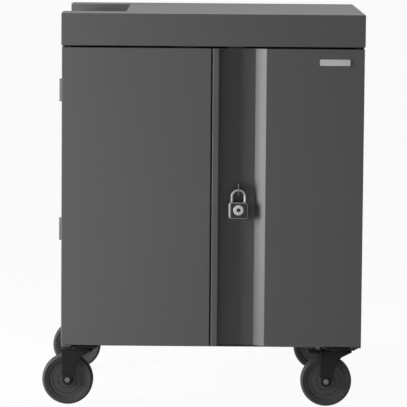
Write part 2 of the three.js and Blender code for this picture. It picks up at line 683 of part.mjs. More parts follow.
// A plate on edge that comes through the channel's floor, with a flange behind it.
function haspEye() {
  const back = CHANNEL_DEPTH + DOOR_SHEET + FIT;
  const heights = [EYE_TOP - EYE_HEIGHT, EYE_TOP];
  const tongue = block(
    around(PADLOCK_MIDDLE, EYE_THICKNESS),
    [PADLOCK_Y - EYE_OVERSTEP, back + EYE_FLANGE_SHEET],
    heights,
  );
  const flange = block(around(PADLOCK_MIDDLE, EYE_FLANGE_WIDTH), [back, back + EYE_FLANGE_SHEET], heights);
  const hole = rod([PADLOCK_Y, EYE_HOLE_Z], EYE_HOLE_RADIUS, 'x',
    around(PADLOCK_MIDDLE, EYE_THICKNESS + 2 * PAST), PIN_SIDES);
  return cut(join(tongue, flange), hole);
}

function nameBadge() {
  const right = BODY_HALF - BADGE_SIDE_INSET;
  const top = DOOR_TOP - BADGE_TOP_INSET;
  const outline = roundedRectangle([right - BADGE_SIZE.x, right], [top - BADGE_SIZE.z, top], BADGE_CORNER);
  return prism(outline, 'y', [-BADGE_GLUE - BADGE_SIZE.y, -BADGE_GLUE]);
}

// Padlock

// A bent rod: down one leg, over a half round crown and down the other leg.
function padlockShackle() {
  const arcMiddle = SHACKLE_CROWN - SHACKLE_HALF_SPAN;
  const point = ([x, z]) => new THREE.Vector3(x, PADLOCK_Y, z);
  const path = new THREE.CurvePath();
  const crown = arc([PADLOCK_MIDDLE, arcMiddle], SHACKLE_HALF_SPAN, 180, 0, SHACKLE_ARC_POINTS).map(point);
  const leg = (side, length) => point([PADLOCK_MIDDLE + side * SHACKLE_HALF_SPAN, PADLOCK_TOP - length]);
  path.add(new THREE.LineCurve3(leg(-1, SHACKLE_LONG_LEG), crown[0]));
  path.add(new THREE.CatmullRomCurve3(crown));
  path.add(new THREE.LineCurve3(crown[crown.length - 1], leg(1, SHACKLE_SHORT_LEG)));
  const circle = arc([0, 0], SHACKLE_ROD_RADIUS, 0, 360, SHACKLE_SIDES).slice(0, -1);
  const section = new THREE.Shape(circle.map(([u, v]) => new THREE.Vector2(u, v)));
  return toSolid(new THREE.ExtrudeGeometry(section, { extrudePath: path, steps: SHACKLE_STEPS }));
}

const PADLOCK_FRONT = PADLOCK_Y - PADLOCK_THICKNESS / 2;
const DIAL_MIDDLE = [PADLOCK_MIDDLE, PADLOCK_BOTTOM + DIAL_HEIGHT];

function padlockBody() {
  const outline = roundedRectangle(
    around(PADLOCK_MIDDLE, PADLOCK_WIDTH),
    [PADLOCK_BOTTOM, PADLOCK_TOP],
    PADLOCK_CORNER,
  );
  const body = prism(outline, 'y', around(PADLOCK_Y, PADLOCK_THICKNESS));
  const legHole = (side, length) => rod(
    [PADLOCK_MIDDLE + side * SHACKLE_HALF_SPAN, PADLOCK_Y],
    SHACKLE_ROD_RADIUS + FIT,
    'z',
    [PADLOCK_TOP - length - FIT, PADLOCK_TOP + PAST],
    PIN_SIDES,
  );
  const pocket = rod(DIAL_MIDDLE, DIAL_RADIUS + FIT, 'y',
    [PADLOCK_FRONT - PAST, PADLOCK_FRONT + DIAL_POCKET], DIAL_SIDES);
  return cut(body, legHole(-1, SHACKLE_LONG_LEG), legHole(1, SHACKLE_SHORT_LEG), pocket);
}

function padlockDial() {
  const span = [PADLOCK_FRONT - DIAL_PROUD, PADLOCK_FRONT + DIAL_POCKET - FIT];
  return rod(DIAL_MIDDLE, DIAL_RADIUS, 'y', span, DIAL_SIDES);
}

// Rear door

function rearDoor() {
  const outside = block([-BODY_HALF, BODY_HALF], [REAR_DOOR_INNER, REAR_DOOR_FACE], DOOR_HEIGHTS);
  const inside = block(
    [-BODY_HALF + DOOR_SHEET, BODY_HALF - DOOR_SHEET],
    [REAR_DOOR_INNER - PAST, REAR_DOOR_FACE - DOOR_SHEET],
    DOOR_INSIDE_HEIGHTS,
  );
  const through = [REAR_DOOR_FACE - DOOR_SHEET - PAST, REAR_DOOR_FACE + PAST];
  const vents = [];
  for (let row = 0; row < VENT_ROWS; row += 1) {
    for (let column = 0; column < VENT_COLUMNS; column += 1) {
      const x = (column - (VENT_COLUMNS - 1) / 2) * VENT_PITCH_X;
      const z = DOOR_TOP - VENT_TOP_DROP - row * VENT_PITCH_Z;
      vents.push(block(around(x, VENT_LENGTH), through, around(z, VENT_HEIGHT)));
    }
  }
  const lockHole = rod([LOCK_X, LOCK_HEIGHT], LOCK_BODY_RADIUS + FIT, 'y', through, LOCK_SIDES);
  return cut(outside, inside, ...vents, lockHole, pinHole([DOOR_PIVOT_X, REAR_PIVOT_Y]));
}

function rearLockBody() {
  const head = [REAR_DOOR_FACE + FIT, REAR_DOOR_FACE + FIT + LOCK_HEAD_THICKNESS];
  const middle = [LOCK_X, LOCK_HEIGHT];
  return cut(
    join(
      rod(middle, LOCK_HEAD_RADIUS, 'y', head, LOCK_SIDES),
      rod(middle, LOCK_BODY_RADIUS, 'y', [CAM_REAR + FIT, head[1]], LOCK_SIDES),
    ),
    rod(middle, LOCK_PLUG_RADIUS + FIT, 'y', [CAM_REAR - PAST, head[1] + PAST], LOCK_SIDES),
  );
}

// The plug turns in the lock's body and carries the cam, which hangs down while unlocked.
function rearLockCam() {
  const half = CAM_WIDTH / 2;
  const outline = [
    ...arc([LOCK_X, LOCK_HEIGHT], half, 0, 180, LOCK_SIDES / 2),
    [LOCK_X - half, LOCK_HEIGHT - CAM_LENGTH],
    [LOCK_X + half, LOCK_HEIGHT - CAM_LENGTH],
  ];
  const plugSpan = [CAM_REAR - CAM_THICKNESS, REAR_DOOR_FACE + FIT + LOCK_HEAD_THICKNESS];
  return join(
    prism(outline, 'y', [CAM_REAR - CAM_THICKNESS, CAM_REAR]),
    rod([LOCK_X, LOCK_HEIGHT], LOCK_PLUG_RADIUS, 'y', plugSpan, LOCK_SIDES),
  );
}

// Casters, each about its own swivel axis at x = 0, y = 0

const AXLE_MIDDLE = [-WHEEL_TRAIL, WHEEL_RADIUS];
const PLATE_TOP = CASTER_HEIGHT - FIT;
const PLATE_BOTTOM = PLATE_TOP - PLATE_SIZE.z;
const FORK_CEILING = FORK_TOP - FORK_SHEET;

function casterPlate() {
  const nutTop = FORK_CEILING - FIT;
  const plate = roundedRectangle(around(0, PLATE_SIZE.x), around(0, PLATE_SIZE.y), PLATE_CORNER);
  return join(
    prism(plate, 'z', [PLATE_BOTTOM, PLATE_TOP]),
    rod([0, 0], RACE_RADIUS, 'z', [FORK_TOP + FIT, PLATE_TOP], DIAL_SIDES),
    rod([0, 0], KINGPIN_RADIUS, 'z', [nutTop - KINGPIN_NUT_HEIGHT, PLATE_TOP], PIN_SIDES),
    rod([0, 0], KINGPIN_NUT_RADIUS, 'z', [nutTop - KINGPIN_NUT_HEIGHT, nutTop], BOLT_SIDES),
  );
}

// A pressed fork: the side outline across its whole width, with the wheel's space cut out from below.
function casterFork(braked) {
  const outline = [
    [FORK_REAR, FORK_TOP],
    ...arc(AXLE_MIDDLE, FORK_END_RADIUS, 180, 360, FORK_END_STEPS),
    FORK_WAIST.toArray(),
    FORK_KNEE.toArray(),
    [FORK_NOSE, FORK_TOP - FORK_SHEET],
    [FORK_NOSE, FORK_TOP],
  ];
  const across = [-FORK_OUTER - PAST, FORK_OUTER + PAST];
  const wheelSpace = block(
    [FORK_REAR - WHEEL_RADIUS, FORK_NOSE + PAST],
    [-FORK_INNER, FORK_INNER],
    [0, FORK_CEILING],
  );
  const fork = cut(
    prism(outline, 'y', [-FORK_OUTER, FORK_OUTER]),
    wheelSpace,
    rod(AXLE_MIDDLE, AXLE_RADIUS + FIT, 'y', across, AXLE_SIDES),
    rod([0, 0], KINGPIN_RADIUS + FIT, 'z', [0, CASTER_HEIGHT], PIN_SIDES),
  );
  const pedalHole = rod(PEDAL_PIVOT.toArray(), PEDAL_PIN_RADIUS + FIT, 'y', across, PEDAL_SIDES);
  return braked ? cut(fork, pedalHole) : fork;
}

function casterAxle() {
  const headStart = FORK_OUTER + FIT;
  const headEnd = headStart + AXLE_HEAD_THICKNESS;
  return join(
    rod(AXLE_MIDDLE, AXLE_RADIUS, 'y', [-headEnd, headEnd], AXLE_SIDES),
    rod(AXLE_MIDDLE, AXLE_HEAD_RADIUS, 'y', [-headEnd, -headStart], BOLT_SIDES),
    rod(AXLE_MIDDLE, AXLE_HEAD_RADIUS, 'y', [headStart, headEnd], BOLT_SIDES),
  );
}

const CORE_RADIUS = WHEEL_RADIUS - TYRE_THICKNESS - FIT;

// Half of a wheel profile, from the bore outwards, mirrored to the other side.
const mirrored = (half) => [...half, ...half.map(([radius, y]) => [radius, -y]).reverse()];

function wheelCore() {
  const hub = FORK_INNER - HUB_SIDE_GAP;
  const web = CORE_RADIUS - RIM_THICKNESS;
  return turned(mirrored([
    [AXLE_RADIUS + FIT, -hub],
    [HUB_RADIUS, -hub],
    [HUB_RADIUS, -WEB_HALF_WIDTH],
    [web, -WEB_HALF_WIDTH],
    [web, -RIM_HALF_WIDTH],
    [CORE_RADIUS, -RIM_HALF_WIDTH],
  ]), WHEEL_SIDES);
}

function tyre() {
  return turned(mirrored([
    [WHEEL_RADIUS - TYRE_THICKNESS, -RIM_HALF_WIDTH],
    [WHEEL_RADIUS - TYRE_SHOULDER, -TYRE_HALF_WIDTH],
    [WHEEL_RADIUS, -TYRE_TREAD_HALF_WIDTH],
  ]), WHEEL_SIDES);
}

// A lever on a cross pin in the fork, over the wheel's trailing side.
function brakePedal() {
  const [x, z] = PEDAL_PIVOT.toArray();
  const half = PEDAL_THICKNESS / 2;
  const lever = [
    [x, z - half],
    [x, z + half],
    [x - PEDAL_LENGTH, z + PEDAL_RISE + half],
    [x - PEDAL_LENGTH, z + PEDAL_RISE - half],
  ];
  return join(
    prism(lever, 'y', [-PEDAL_HALF_WIDTH, PEDAL_HALF_WIDTH]),
    rod([x, z], PEDAL_PIN_RADIUS, 'y', [-FORK_OUTER, FORK_OUTER], PEDAL_SIDES),
  );
}

function placeCaster(name, [x, y], braked) {
  const caster = new THREE.Group();
  caster.position.set(x, y, 0);
  cart.add(caster);
  const wheel = new THREE.Group();
  wheel.position.set(-WHEEL_TRAIL, 0, WHEEL_RADIUS);
  caster.add(wheel);
  place(`${name}_caster_plate`, casterPlate(), DARK_STEEL, caster);
  place(`${name}_caster_fork`, casterFork(braked), DARK_STEEL, caster);
  place(`${name}_caster_axle`, casterAxle(), BRIGHT_STEEL, caster);
  place(`${name}_wheel_core`, wheelCore(), BLACK_PLASTIC, wheel);
  place(`${name}_tyre`, tyre(), TYRE_RUBBER, wheel);
  if (braked) {
    place(`${name}_brake_pedal`, brakePedal(), DARK_STEEL, caster);
  }
}

// The cart, put together

place('base_pan', basePan(), INTERIOR);
place('left_side_panel', cut(sidePanel(-1), inletCutout()), CHARCOAL);
place('right_side_panel', sidePanel(1), CHARCOAL);
place('roof_panel', roofPanel(), INTERIOR);
place('top_cover', topCover(), CHARCOAL);
place('push_handle', pushHandle(), CHARCOAL);
place('partition_panel', partitionPanel(), INTERIOR);
place('device_shelf', deviceShelf(), INTERIOR);
place('lower_divider_rack', dividerRack(BASE_TOP), GREY_PLASTIC);
place('upper_divider_rack', dividerRack(SHELF_TOP), GREY_PLASTIC);

const DOOR_PIVOTS = {
  left_door: [-DOOR_PIVOT_X, PIVOT_DEPTH],
  right_door: [DOOR_PIVOT_X, PIVOT_DEPTH],
  rear_door: [DOOR_PIVOT_X, REAR_PIVOT_Y],
};
for (const [door, pivot] of Object.entries(DOOR_PIVOTS)) {
  place(`${door}_top_pin`, topPin(pivot), DARK_STEEL);
  place(`${door}_bottom_pin`, bottomPin(pivot), DARK_STEEL);
}
place('left_magnet_catch', magnetCatch(-1), BLACK_PLASTIC);
place('right_magnet_catch', magnetCatch(1), BLACK_PLASTIC);

place('lower_outlet_strip', outletStrip(BASE_TOP), BLACK_PLASTIC);
place('upper_outlet_strip', outletStrip(SHELF_TOP), BLACK_PLASTIC);
place('power_controller', powerController(), DARK_STEEL);
const rocker = place('power_switch', powerSwitch(), BLACK_PLASTIC);
rocker.position.set(SWITCH_X, CONTROLLER_REAR, SWITCH_Z);
rocker.rotation.x = THREE.MathUtils.degToRad(-SWITCH_TILT);
place('power_inlet', powerInlet(), BLACK_PLASTIC);
place('cord_hook_upper', cordHook(HOOK_UPPER_HEIGHT), GREY_PLASTIC);
place('cord_hook_lower', cordHook(HOOK_LOWER_HEIGHT), GREY_PLASTIC);

place('left_door', leftDoor(), CHARCOAL);
place('left_door_liner', doorLiner(-BODY_HALF, LEFT_DOOR_EDGE), INTERIOR);
place('right_door', rightDoor(), CHARCOAL);
place('right_door_liner', doorLiner(RIGHT_DOOR_EDGE, BODY_HALF), INTERIOR);
place('hasp_eye', haspEye(), BRIGHT_STEEL);
place('name_badge', nameBadge(), BADGE_METAL);
place('padlock_shackle', padlockShackle(), BRIGHT_STEEL);
place('padlock_body', padlockBody(), PADLOCK_FINISH);
place('padlock_dial', padlockDial(), DIAL_FINISH);
place('rear_door', rearDoor(), CHARCOAL);
place('rear_lock_body', rearLockBody(), BRIGHT_STEEL);
place('rear_lock_cam', rearLockCam(), BRIGHT_STEEL);

const CASTER_X = BODY_HALF - CASTER_SIDE_INSET;
const CASTER_REAR_Y = COVER_DEPTH - CASTER_END_INSET;
placeCaster('front_left', [-CASTER_X, CASTER_END_INSET], false);
placeCaster('front_right', [CASTER_X, CASTER_END_INSET], true);
placeCaster('rear_left', [-CASTER_X, CASTER_REAR_Y], false);
placeCaster('rear_right', [CASTER_X, CASTER_REAR_Y], true);

const middle = new THREE.Box3().setFromObject(cart).getCenter(new THREE.Vector3());
cart.position.set(-middle.x, -middle.y, 0);

export default cart;
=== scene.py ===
"""Looks of a laptop charging cart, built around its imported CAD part. Lengths are in metres."""

import json
import math

import bpy
import numpy as np
from mathutils import Matrix, Vector

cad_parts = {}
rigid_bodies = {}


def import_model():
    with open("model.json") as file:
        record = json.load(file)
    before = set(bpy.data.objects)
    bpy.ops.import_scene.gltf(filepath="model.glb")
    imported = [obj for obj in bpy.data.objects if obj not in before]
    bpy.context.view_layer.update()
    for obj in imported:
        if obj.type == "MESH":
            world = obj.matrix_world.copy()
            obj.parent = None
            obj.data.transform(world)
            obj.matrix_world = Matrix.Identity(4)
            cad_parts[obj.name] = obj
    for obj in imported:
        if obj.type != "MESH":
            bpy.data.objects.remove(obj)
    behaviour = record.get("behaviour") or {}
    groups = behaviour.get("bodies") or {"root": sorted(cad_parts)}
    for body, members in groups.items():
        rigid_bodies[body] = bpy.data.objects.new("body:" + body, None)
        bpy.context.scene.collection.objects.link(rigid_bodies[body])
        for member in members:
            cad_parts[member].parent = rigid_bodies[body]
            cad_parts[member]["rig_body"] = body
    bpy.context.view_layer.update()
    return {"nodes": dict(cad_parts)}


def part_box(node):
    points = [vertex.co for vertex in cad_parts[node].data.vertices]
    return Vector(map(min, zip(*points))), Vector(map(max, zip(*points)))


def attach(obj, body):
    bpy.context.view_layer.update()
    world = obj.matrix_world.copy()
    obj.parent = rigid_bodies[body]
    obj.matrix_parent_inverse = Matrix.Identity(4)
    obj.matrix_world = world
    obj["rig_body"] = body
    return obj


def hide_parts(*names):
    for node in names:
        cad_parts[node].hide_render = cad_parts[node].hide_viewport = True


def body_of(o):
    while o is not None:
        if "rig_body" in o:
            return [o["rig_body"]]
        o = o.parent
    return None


MM = 0.001

# How finely round forms are cut, and the angle above which an edge stays sharp
ROUND_SIDES = 96
ROD_SIDES = 24
BOLT_SIDES = 6
CORNER_STEPS = 6
RIM_STEPS = 4
SHARP_ANGLE = math.radians(50)

# Edges of folded sheet, of mouldings and of the CAD nodes that stay
FOLD_RADIUS = 1.5 * MM
RIM_RADIUS = 1.1 * MM
CAD_EDGE = 0.35 * MM
CAD_EDGE_STEPS = 2
SAME_POINT = 0.001 * MM

# Front doors, with the channel measured from the right door's left edge and front face
LINER_PROUD = 1.4 * MM
CHANNEL_START = 15.8 * MM
CHANNEL_END = 105.3 * MM
REVEAL_END = 131.8 * MM
CHANNEL_DEPTH = 20 * MM

# Notch in the top cover, and the handle across it
NOTCH_WIDTH = 156 * MM
NOTCH_FRONT_RIM = 118 * MM
NOTCH_REAR_RIM = 100 * MM
NOTCH_FLOOR = 902 * MM
HANDLE_RADIUS = 12.5 * MM
ROSETTE_THICKNESS = 3 * MM

# Cord hooks
HOOK_BAR = 6 * MM
HOOK_FOOT = 3 * MM
HOOK_HALF_DEPTH = 13 * MM
HOOK_FOOT_HALF = (22 * MM, 18 * MM)
HOOK_CORNER = 8 * MM
HOOK_STEM_RADIUS = 10 * MM

# Padlock
PADLOCK_CORNER = 6 * MM
PADLOCK_RIM = 2.6 * MM
# The wider pale margin on the left is a painted highlight for light on the padlock's left side
FACE_LEFT_HIGHLIGHT_MARGIN = 5.5 * MM
FACE_MARGIN = 2.3 * MM
FACE_CORNER = 3 * MM
FACE_PROUD = 0.4 * MM
FACE_RIM = 0.2 * MM
SHACKLE_RADIUS = 3.3 * MM
DIAL_RADIUS = 12.7 * MM
DIAL_RIM = 1 * MM
KNOB_RADIUS = 5 * MM
KNOB_PROUD = 0.5 * MM
TICK_COUNT = 40
TICKS_PER_NUMBER = 5
TICK_OUTER = 11.2 * MM
TICK_INNER = 10 * MM
LONG_TICK_INNER = 9.2 * MM
TICK_HALF_WIDTH = 0.16 * MM
NUMBER_RADIUS = 7.4 * MM
NUMBER_SIZE = 2.6 * MM
INK_THICKNESS = 0.05 * MM

# Wheels
CASTERS = ("front_left", "front_right", "rear_left", "rear_right")
WHEEL_RADIUS = 63.5 * MM
TYRE_HALF_WIDTH = 16 * MM
TYRE_INNER = 46 * MM
TYRE_SHOULDER = 5 * MM
TYRE_EDGE = 1.8 * MM
TREAD_HALF_WIDTH = 9 * MM
RIM_HALF_WIDTH = 14 * MM
CORE_RADIUS = 46.3 * MM
CORE_FACE = 12.2 * MM
CORE_GROOVES = ((22 * MM, 24 * MM), (35 * MM, 37 * MM))
GROOVE_DEPTH = 1.2 * MM
CORE_EDGE = 0.45 * MM
HUB_RADIUS = 15 * MM
HUB_HALF_WIDTH = 18.6 * MM
BORE_RADIUS = 5.3 * MM

# Axles and bolts
AXLE_RADIUS = 5 * MM
AXLE_HEAD_RADIUS = 7 * MM
AXLE_HEAD_THICKNESS = 5 * MM
WASHER_RADIUS = 12 * MM
WASHER_THICKNESS = 1.2 * MM
PLATE_THICKNESS = 3.5 * MM
PLATE_BOLT_INSET = 12 * MM
PLATE_BOLT_RADIUS = 6.5 * MM
PLATE_BOLT_HEIGHT = 4 * MM

# Forks, from the swivel axis and from the floor
WHEEL_TRAIL = 34.5 * MM
FORK_INNER = 19.2 * MM
FORK_OUTER = 22.2 * MM
FORK_SHEET = 3 * MM
FORK_TOP = 140 * MM
FORK_REAR = -49 * MM
FORK_NOSE = 29 * MM
FORK_END_RADIUS = 14 * MM
FORK_END_STEPS = 12
FORK_WAIST = (-9.5 * MM, 112 * MM)
FORK_KNEE = (5 * MM, 125 * MM)
FORK_EDGE = 0.8 * MM

# Shallow dark marks for slots and holes, painted shade that stands in for their hollows
MARK_DEPTH = 0.15 * MM
MARK_CORNER = 0.3 * MM
MARK_RIM = 0.075 * MM

# Black screen behind the rear door's vents, painted shade for the inside of the cabinet, and the slot in
# its lock, a dark mark painted as shade
SCREEN_HALF_WIDTH = 205 * MM
SCREEN_TOP_DROP = 55 * MM
SCREEN_HEIGHT = 125 * MM
SCREEN_THICKNESS = 0.8 * MM
SCREEN_RIM = 0.15 * MM
KEY_SLOT_HALF = (0.9 * MM, 3.6 * MM)
DOOR_SHEET = 1.2 * MM

# Outlets
OUTLET_COUNT = 11
OUTLET_PITCH = 52 * MM
OUTLET_HALF = (13 * MM, 15 * MM)
OUTLET_PROUD = 1.2 * MM
OUTLET_CORNER = 4 * MM
BLADE_HALF = (0.9 * MM, 3.6 * MM)
BLADE_SPREAD = 6.4 * MM
BLADE_RISE = 4 * MM
EARTH_RADIUS = 2.4 * MM
EARTH_DROP = 6 * MM

# Power controller's face, from its top
LAMP_COUNT = 3
LAMP_PITCH = 14 * MM
LAMP_RADIUS = 3 * MM
LAMP_PROUD = 2 * MM
LAMP_RIM = 1 * MM
LAMP_DROP = 90 * MM
GRILLE_SLOTS = 6
GRILLE_PITCH = 9 * MM
GRILLE_HALF = (20 * MM, 1.6 * MM)
GRILLE_CORNER = 0.8 * MM
GRILLE_DROP = 120 * MM
SCREW_RADIUS = 3.2 * MM
SCREW_PROUD = 1.4 * MM
SCREW_RIM = 0.7 * MM
SCREW_INSET = 7 * MM

# Supply inlet
PIN_HALF = (1 * MM, 3 * MM)
PIN_CORNER = 0.5 * MM
PIN_SPREAD = 7 * MM
PIN_RISE = 4 * MM
PIN_LENGTH = 13 * MM
SOCKET_DEPTH = 18 * MM

# Camera fitted to the photo
CAMERA_PLACE = (-7.53 * MM, -7.5463, 1.29537)
CAMERA_YAW = math.radians(-0.078)
CAMERA_PITCH = math.radians(6.205)
CAMERA_ROLL = math.radians(0.466)
CAMERA_SENSOR = 36.0
CAMERA_LENS = 260.65

# Studio
LIGHT_TARGET = Vector((0, -0.2, 0.5))
LAMPS = {
    "left_softbox": {"place": (-2.7, -0.92, 0.78), "size": (0.8, 1.5), "power": 174},
    "top_softbox": {"place": (0.0, 0.2, 2.2), "size": (1.4, 1.0), "power": 12},
}
AMBIENT = 0.04
FLOOR_SIZE = 90.0
FLOOR_GLOW = 0.95

# Colours, linear
CHARCOAL = (0.092, 0.092, 0.093)
INTERIOR_GREY = (0.15, 0.153, 0.158)
DARK_COAT = (0.0105, 0.0106, 0.0108)
BLACK_PLASTIC = (0.02, 0.0205, 0.021)
WHEEL_GREY = (0.027, 0.0276, 0.0286)
RUBBER_GREY = (0.0225, 0.0227, 0.0231)
HOOK_GREY = (0.145, 0.146, 0.148)
DIVIDER_GREY = (0.3, 0.305, 0.31)
PALE_METAL = (0.3, 0.302, 0.305)
BOLT_METAL = (0.14, 0.14, 0.141)
BADGE_METAL = (0.56, 0.56, 0.56)
# Pale case metal, its own colour, which also carries the painted highlight down the padlock's left side
CASE_METAL_AND_HIGHLIGHT = (0.21, 0.211, 0.213)
PADLOCK_METAL = (0.024, 0.0244, 0.0248)
LAMP_GREEN = (0.05, 0.32, 0.09)
DIAL_WHITE = (0.6, 0.6, 0.59)
# Black for the dial's print, and painted shade for holes, slots and the screen behind the vents
INK_AND_SHADE = (0.02, 0.02, 0.02)
FLOOR_GREY = (0.85, 0.85, 0.85, 1.0)
WHITE = (1.0, 1.0, 1.0, 1.0)

# Noise in the finishes: waves to the metre, fineness, and the bands that streaks and worn patches start in
EVEN = (1.0, 1.0, 1.0)
NOISE_MIDDLE = 0.5
CLOUD_SCALE = 4.0
CLOUD_FINENESS = 4.0
GRAIN_FINENESS = 2.0
STREAK_SCALE = 24.0
STREAK_FINENESS = 6.0
STREAK_STRETCH = (1.0, 1.0, 0.15)
STREAK_BAND = (0.66, 0.74)
PATCH_SCALE = 9.0
PATCH_FINENESS = 3.0
PATCH_BAND = (0.45, 0.65)
SCUFF_PALENESS = 1.6
CLOUD_ROUGHNESS = 0.12
GRAIN_ROUGHNESS = 0.1
SCUFF_ROUGHNESS = 0.3

# Sockets of a node that mixes colours, by number, because its other kinds share their names
MIX_FACTOR = 0
MIX_FIRST = 6
MIX_SECOND = 7
MIX_RESULT = 2


# Shapes: each gives (points, faces)

def unit(vectors):
    return vectors / np.linalg.norm(vectors, axis=-1, keepdims=True)


def middle_of(low, high):
    return (np.asarray(low) + np.asarray(high)) / 2


def row(middle, count, pitch):
    """Evenly spaced places about a middle."""
    return middle + pitch * (np.arange(count) - (count - 1) / 2)


def rounded(corners, radius):
    """A closed outline with its corners rounded. Each arc's middle lies on its corner's bisector, at
    radius / sin(half the corner's angle), and the arc turns evenly from one side to the next."""
    corners = np.asarray(corners, float)
    back = unit(np.roll(corners, 1, 0) - corners)
    ahead = unit(np.roll(corners, -1, 0) - corners)
    half = np.arccos(np.clip(np.sum(back * ahead, 1, keepdims=True), -1, 1)) / 2
    middle = corners + unit(back + ahead) * radius / np.sin(half)
    start = corners + back * radius / np.tan(half) - middle
    end = corners + ahead * radius / np.tan(half) - middle
    turn = math.pi - 2 * half[:, None]
    part = np.linspace(0, 1, CORNER_STEPS)[:, None]
    arcs = np.sin((1 - part) * turn) * start[:, None] + np.sin(part * turn) * end[:, None]
    return (middle[:, None] + arcs / np.sin(turn)).reshape(-1, 2)


def rectangle(u_span, v_span):
    left, right = u_span
    bottom, top = v_span
    return [(left, bottom), (right, bottom), (right, top), (left, top)]


def circle(middle, radius, sides):
    angles = np.linspace(0, 2 * math.pi, sides, endpoint=False)
    return np.asarray(middle) + radius * np.stack([np.cos(angles), np.sin(angles)], 1)


def drawn_in(outline, inset):
    """A counter-clockwise outline with every side moved inwards by the same distance: a corner moves along
    the sum of its two sides' inward normals, over 1 + the product of the two."""
    ahead = unit(np.roll(outline, -1, 0) - outline)
    inward = np.stack([-ahead[:, 1], ahead[:, 0]], 1)
    before = np.roll(inward, 1, 0)
    return outline + inset * (inward + before) / (1 + np.sum(inward * before, 1, keepdims=True))


def along(axis, outline, place):
    """An outline's points at one place along an axis: (y, z) for x, (x, z) for y and (x, y) for z."""
    u, v = outline.T
    w = np.full(len(outline), place)
    return np.stack({"x": (w, u, v), "y": (u, w, v), "z": (u, v, w)}[axis], 1)


def skin(rings, closed_ends=True, flipped=False):
    """Quads between neighbouring rings of equal length. Each end ring gets a face, or else the last ring is
    joined to the first."""
    rings = np.asarray(rings)
    numbers = np.arange(rings.shape[0] * rings.shape[1]).reshape(rings.shape[:2])
    rows = numbers if closed_ends else np.vstack([numbers, numbers[:1]])
    ahead = np.roll(rows, -1, 1)
    faces = np.stack([rows[:-1], ahead[:-1], ahead[1:], rows[1:]], -1).reshape(-1, 4).tolist()
    if closed_ends:
        faces += [numbers[0, ::-1].tolist(), numbers[-1].tolist()]
    if flipped:
        faces = [face[::-1] for face in faces]
    return rings.reshape(-1, 3), faces


def rounded_prism(outline, axis, span, rim):
    """An outline carried along an axis, with both rims rounded: at the angle t the outline is drawn in by
    rim (1 - sin t), at rim (1 - cos t) from the end."""
    angles = np.linspace(0, math.pi / 2, RIM_STEPS)
    drawn = [drawn_in(outline, rim * (1 - math.sin(angle))) for angle in angles]
    rises = rim * (1 - np.cos(angles))
    near = [along(axis, ring, span[0] + rise) for ring, rise in zip(drawn, rises)]
    far = [along(axis, ring, span[1] - rise) for ring, rise in zip(drawn, rises)]
    return skin(near + far[::-1], flipped=axis == "y")


def folded_shape(plan, low, high):
    """A plan with rounded folds, carried from the lowest to the highest corner of a node's box."""
    return rounded_prism(rounded(plan, FOLD_RADIUS), "z", (low[2], high[2]), RIM_RADIUS)


def box_shape(low, high, axis, corner, rim):
    """A block between two corners, with rounded corners about an axis and rounded rims."""
    u, v, w = {"x": (1, 2, 0), "y": (0, 2, 1), "z": (0, 1, 2)}[axis]
    outline = rounded(rectangle((low[u], high[u]), (low[v], high[v])), corner)
    return rounded_prism(outline, axis, (low[w], high[w]), rim)


def plate_shape(half, axis, middle, span, corner, rim):
    """A block about an axis, from its half width and half height across that axis."""
    low = np.asarray(middle) - half
    high = np.asarray(middle) + half
    outline = rounded(rectangle((low[0], high[0]), (low[1], high[1])), corner)
    return rounded_prism(outline, axis, span, rim)


def rod_shape(radius, axis, middle, span, rim):
    """A round rod about an axis, with rounded rims."""
    return rounded_prism(circle(middle, radius, ROUND_SIDES), axis, span, rim)


def bolt_head(radius, axis, middle, span):
    return rounded_prism(circle(middle, radius, BOLT_SIDES), axis, span, CAD_EDGE)


def mark(half, middle, face, corner=MARK_CORNER):
    """A thin bar on a face that looks along y."""
    return plate_shape(half, "y", middle, (face - MARK_DEPTH, face + MARK_DEPTH), corner, MARK_RIM)


def wheel_shape(profile, middle):
    """A closed profile of (radius, place along y) turned round the y axis, about a middle."""
    angles = np.linspace(0, 2 * math.pi, ROUND_SIDES, endpoint=False)
    radius, place = profile.T
    x = np.outer(np.cos(angles), radius)
    z = np.outer(np.sin(angles), radius)
    y = np.broadcast_to(place, x.shape)
    return skin(np.stack([x, y, z], -1) + middle, closed_ends=False)


def bent_rod(path, radius, across):
    """A round rod along a flat path: a ring lies in the plane of `across` and the path's normal there."""
    normal = np.cross(across, unit(np.gradient(path, axis=0)))
    angles = np.linspace(0, 2 * math.pi, ROD_SIDES, endpoint=False)[:, None]
    spokes = np.cos(angles) * normal[:, None] + np.sin(angles) * np.asarray(across)
    return skin(path[:, None] + radius * spokes, flipped=True)


# Materials

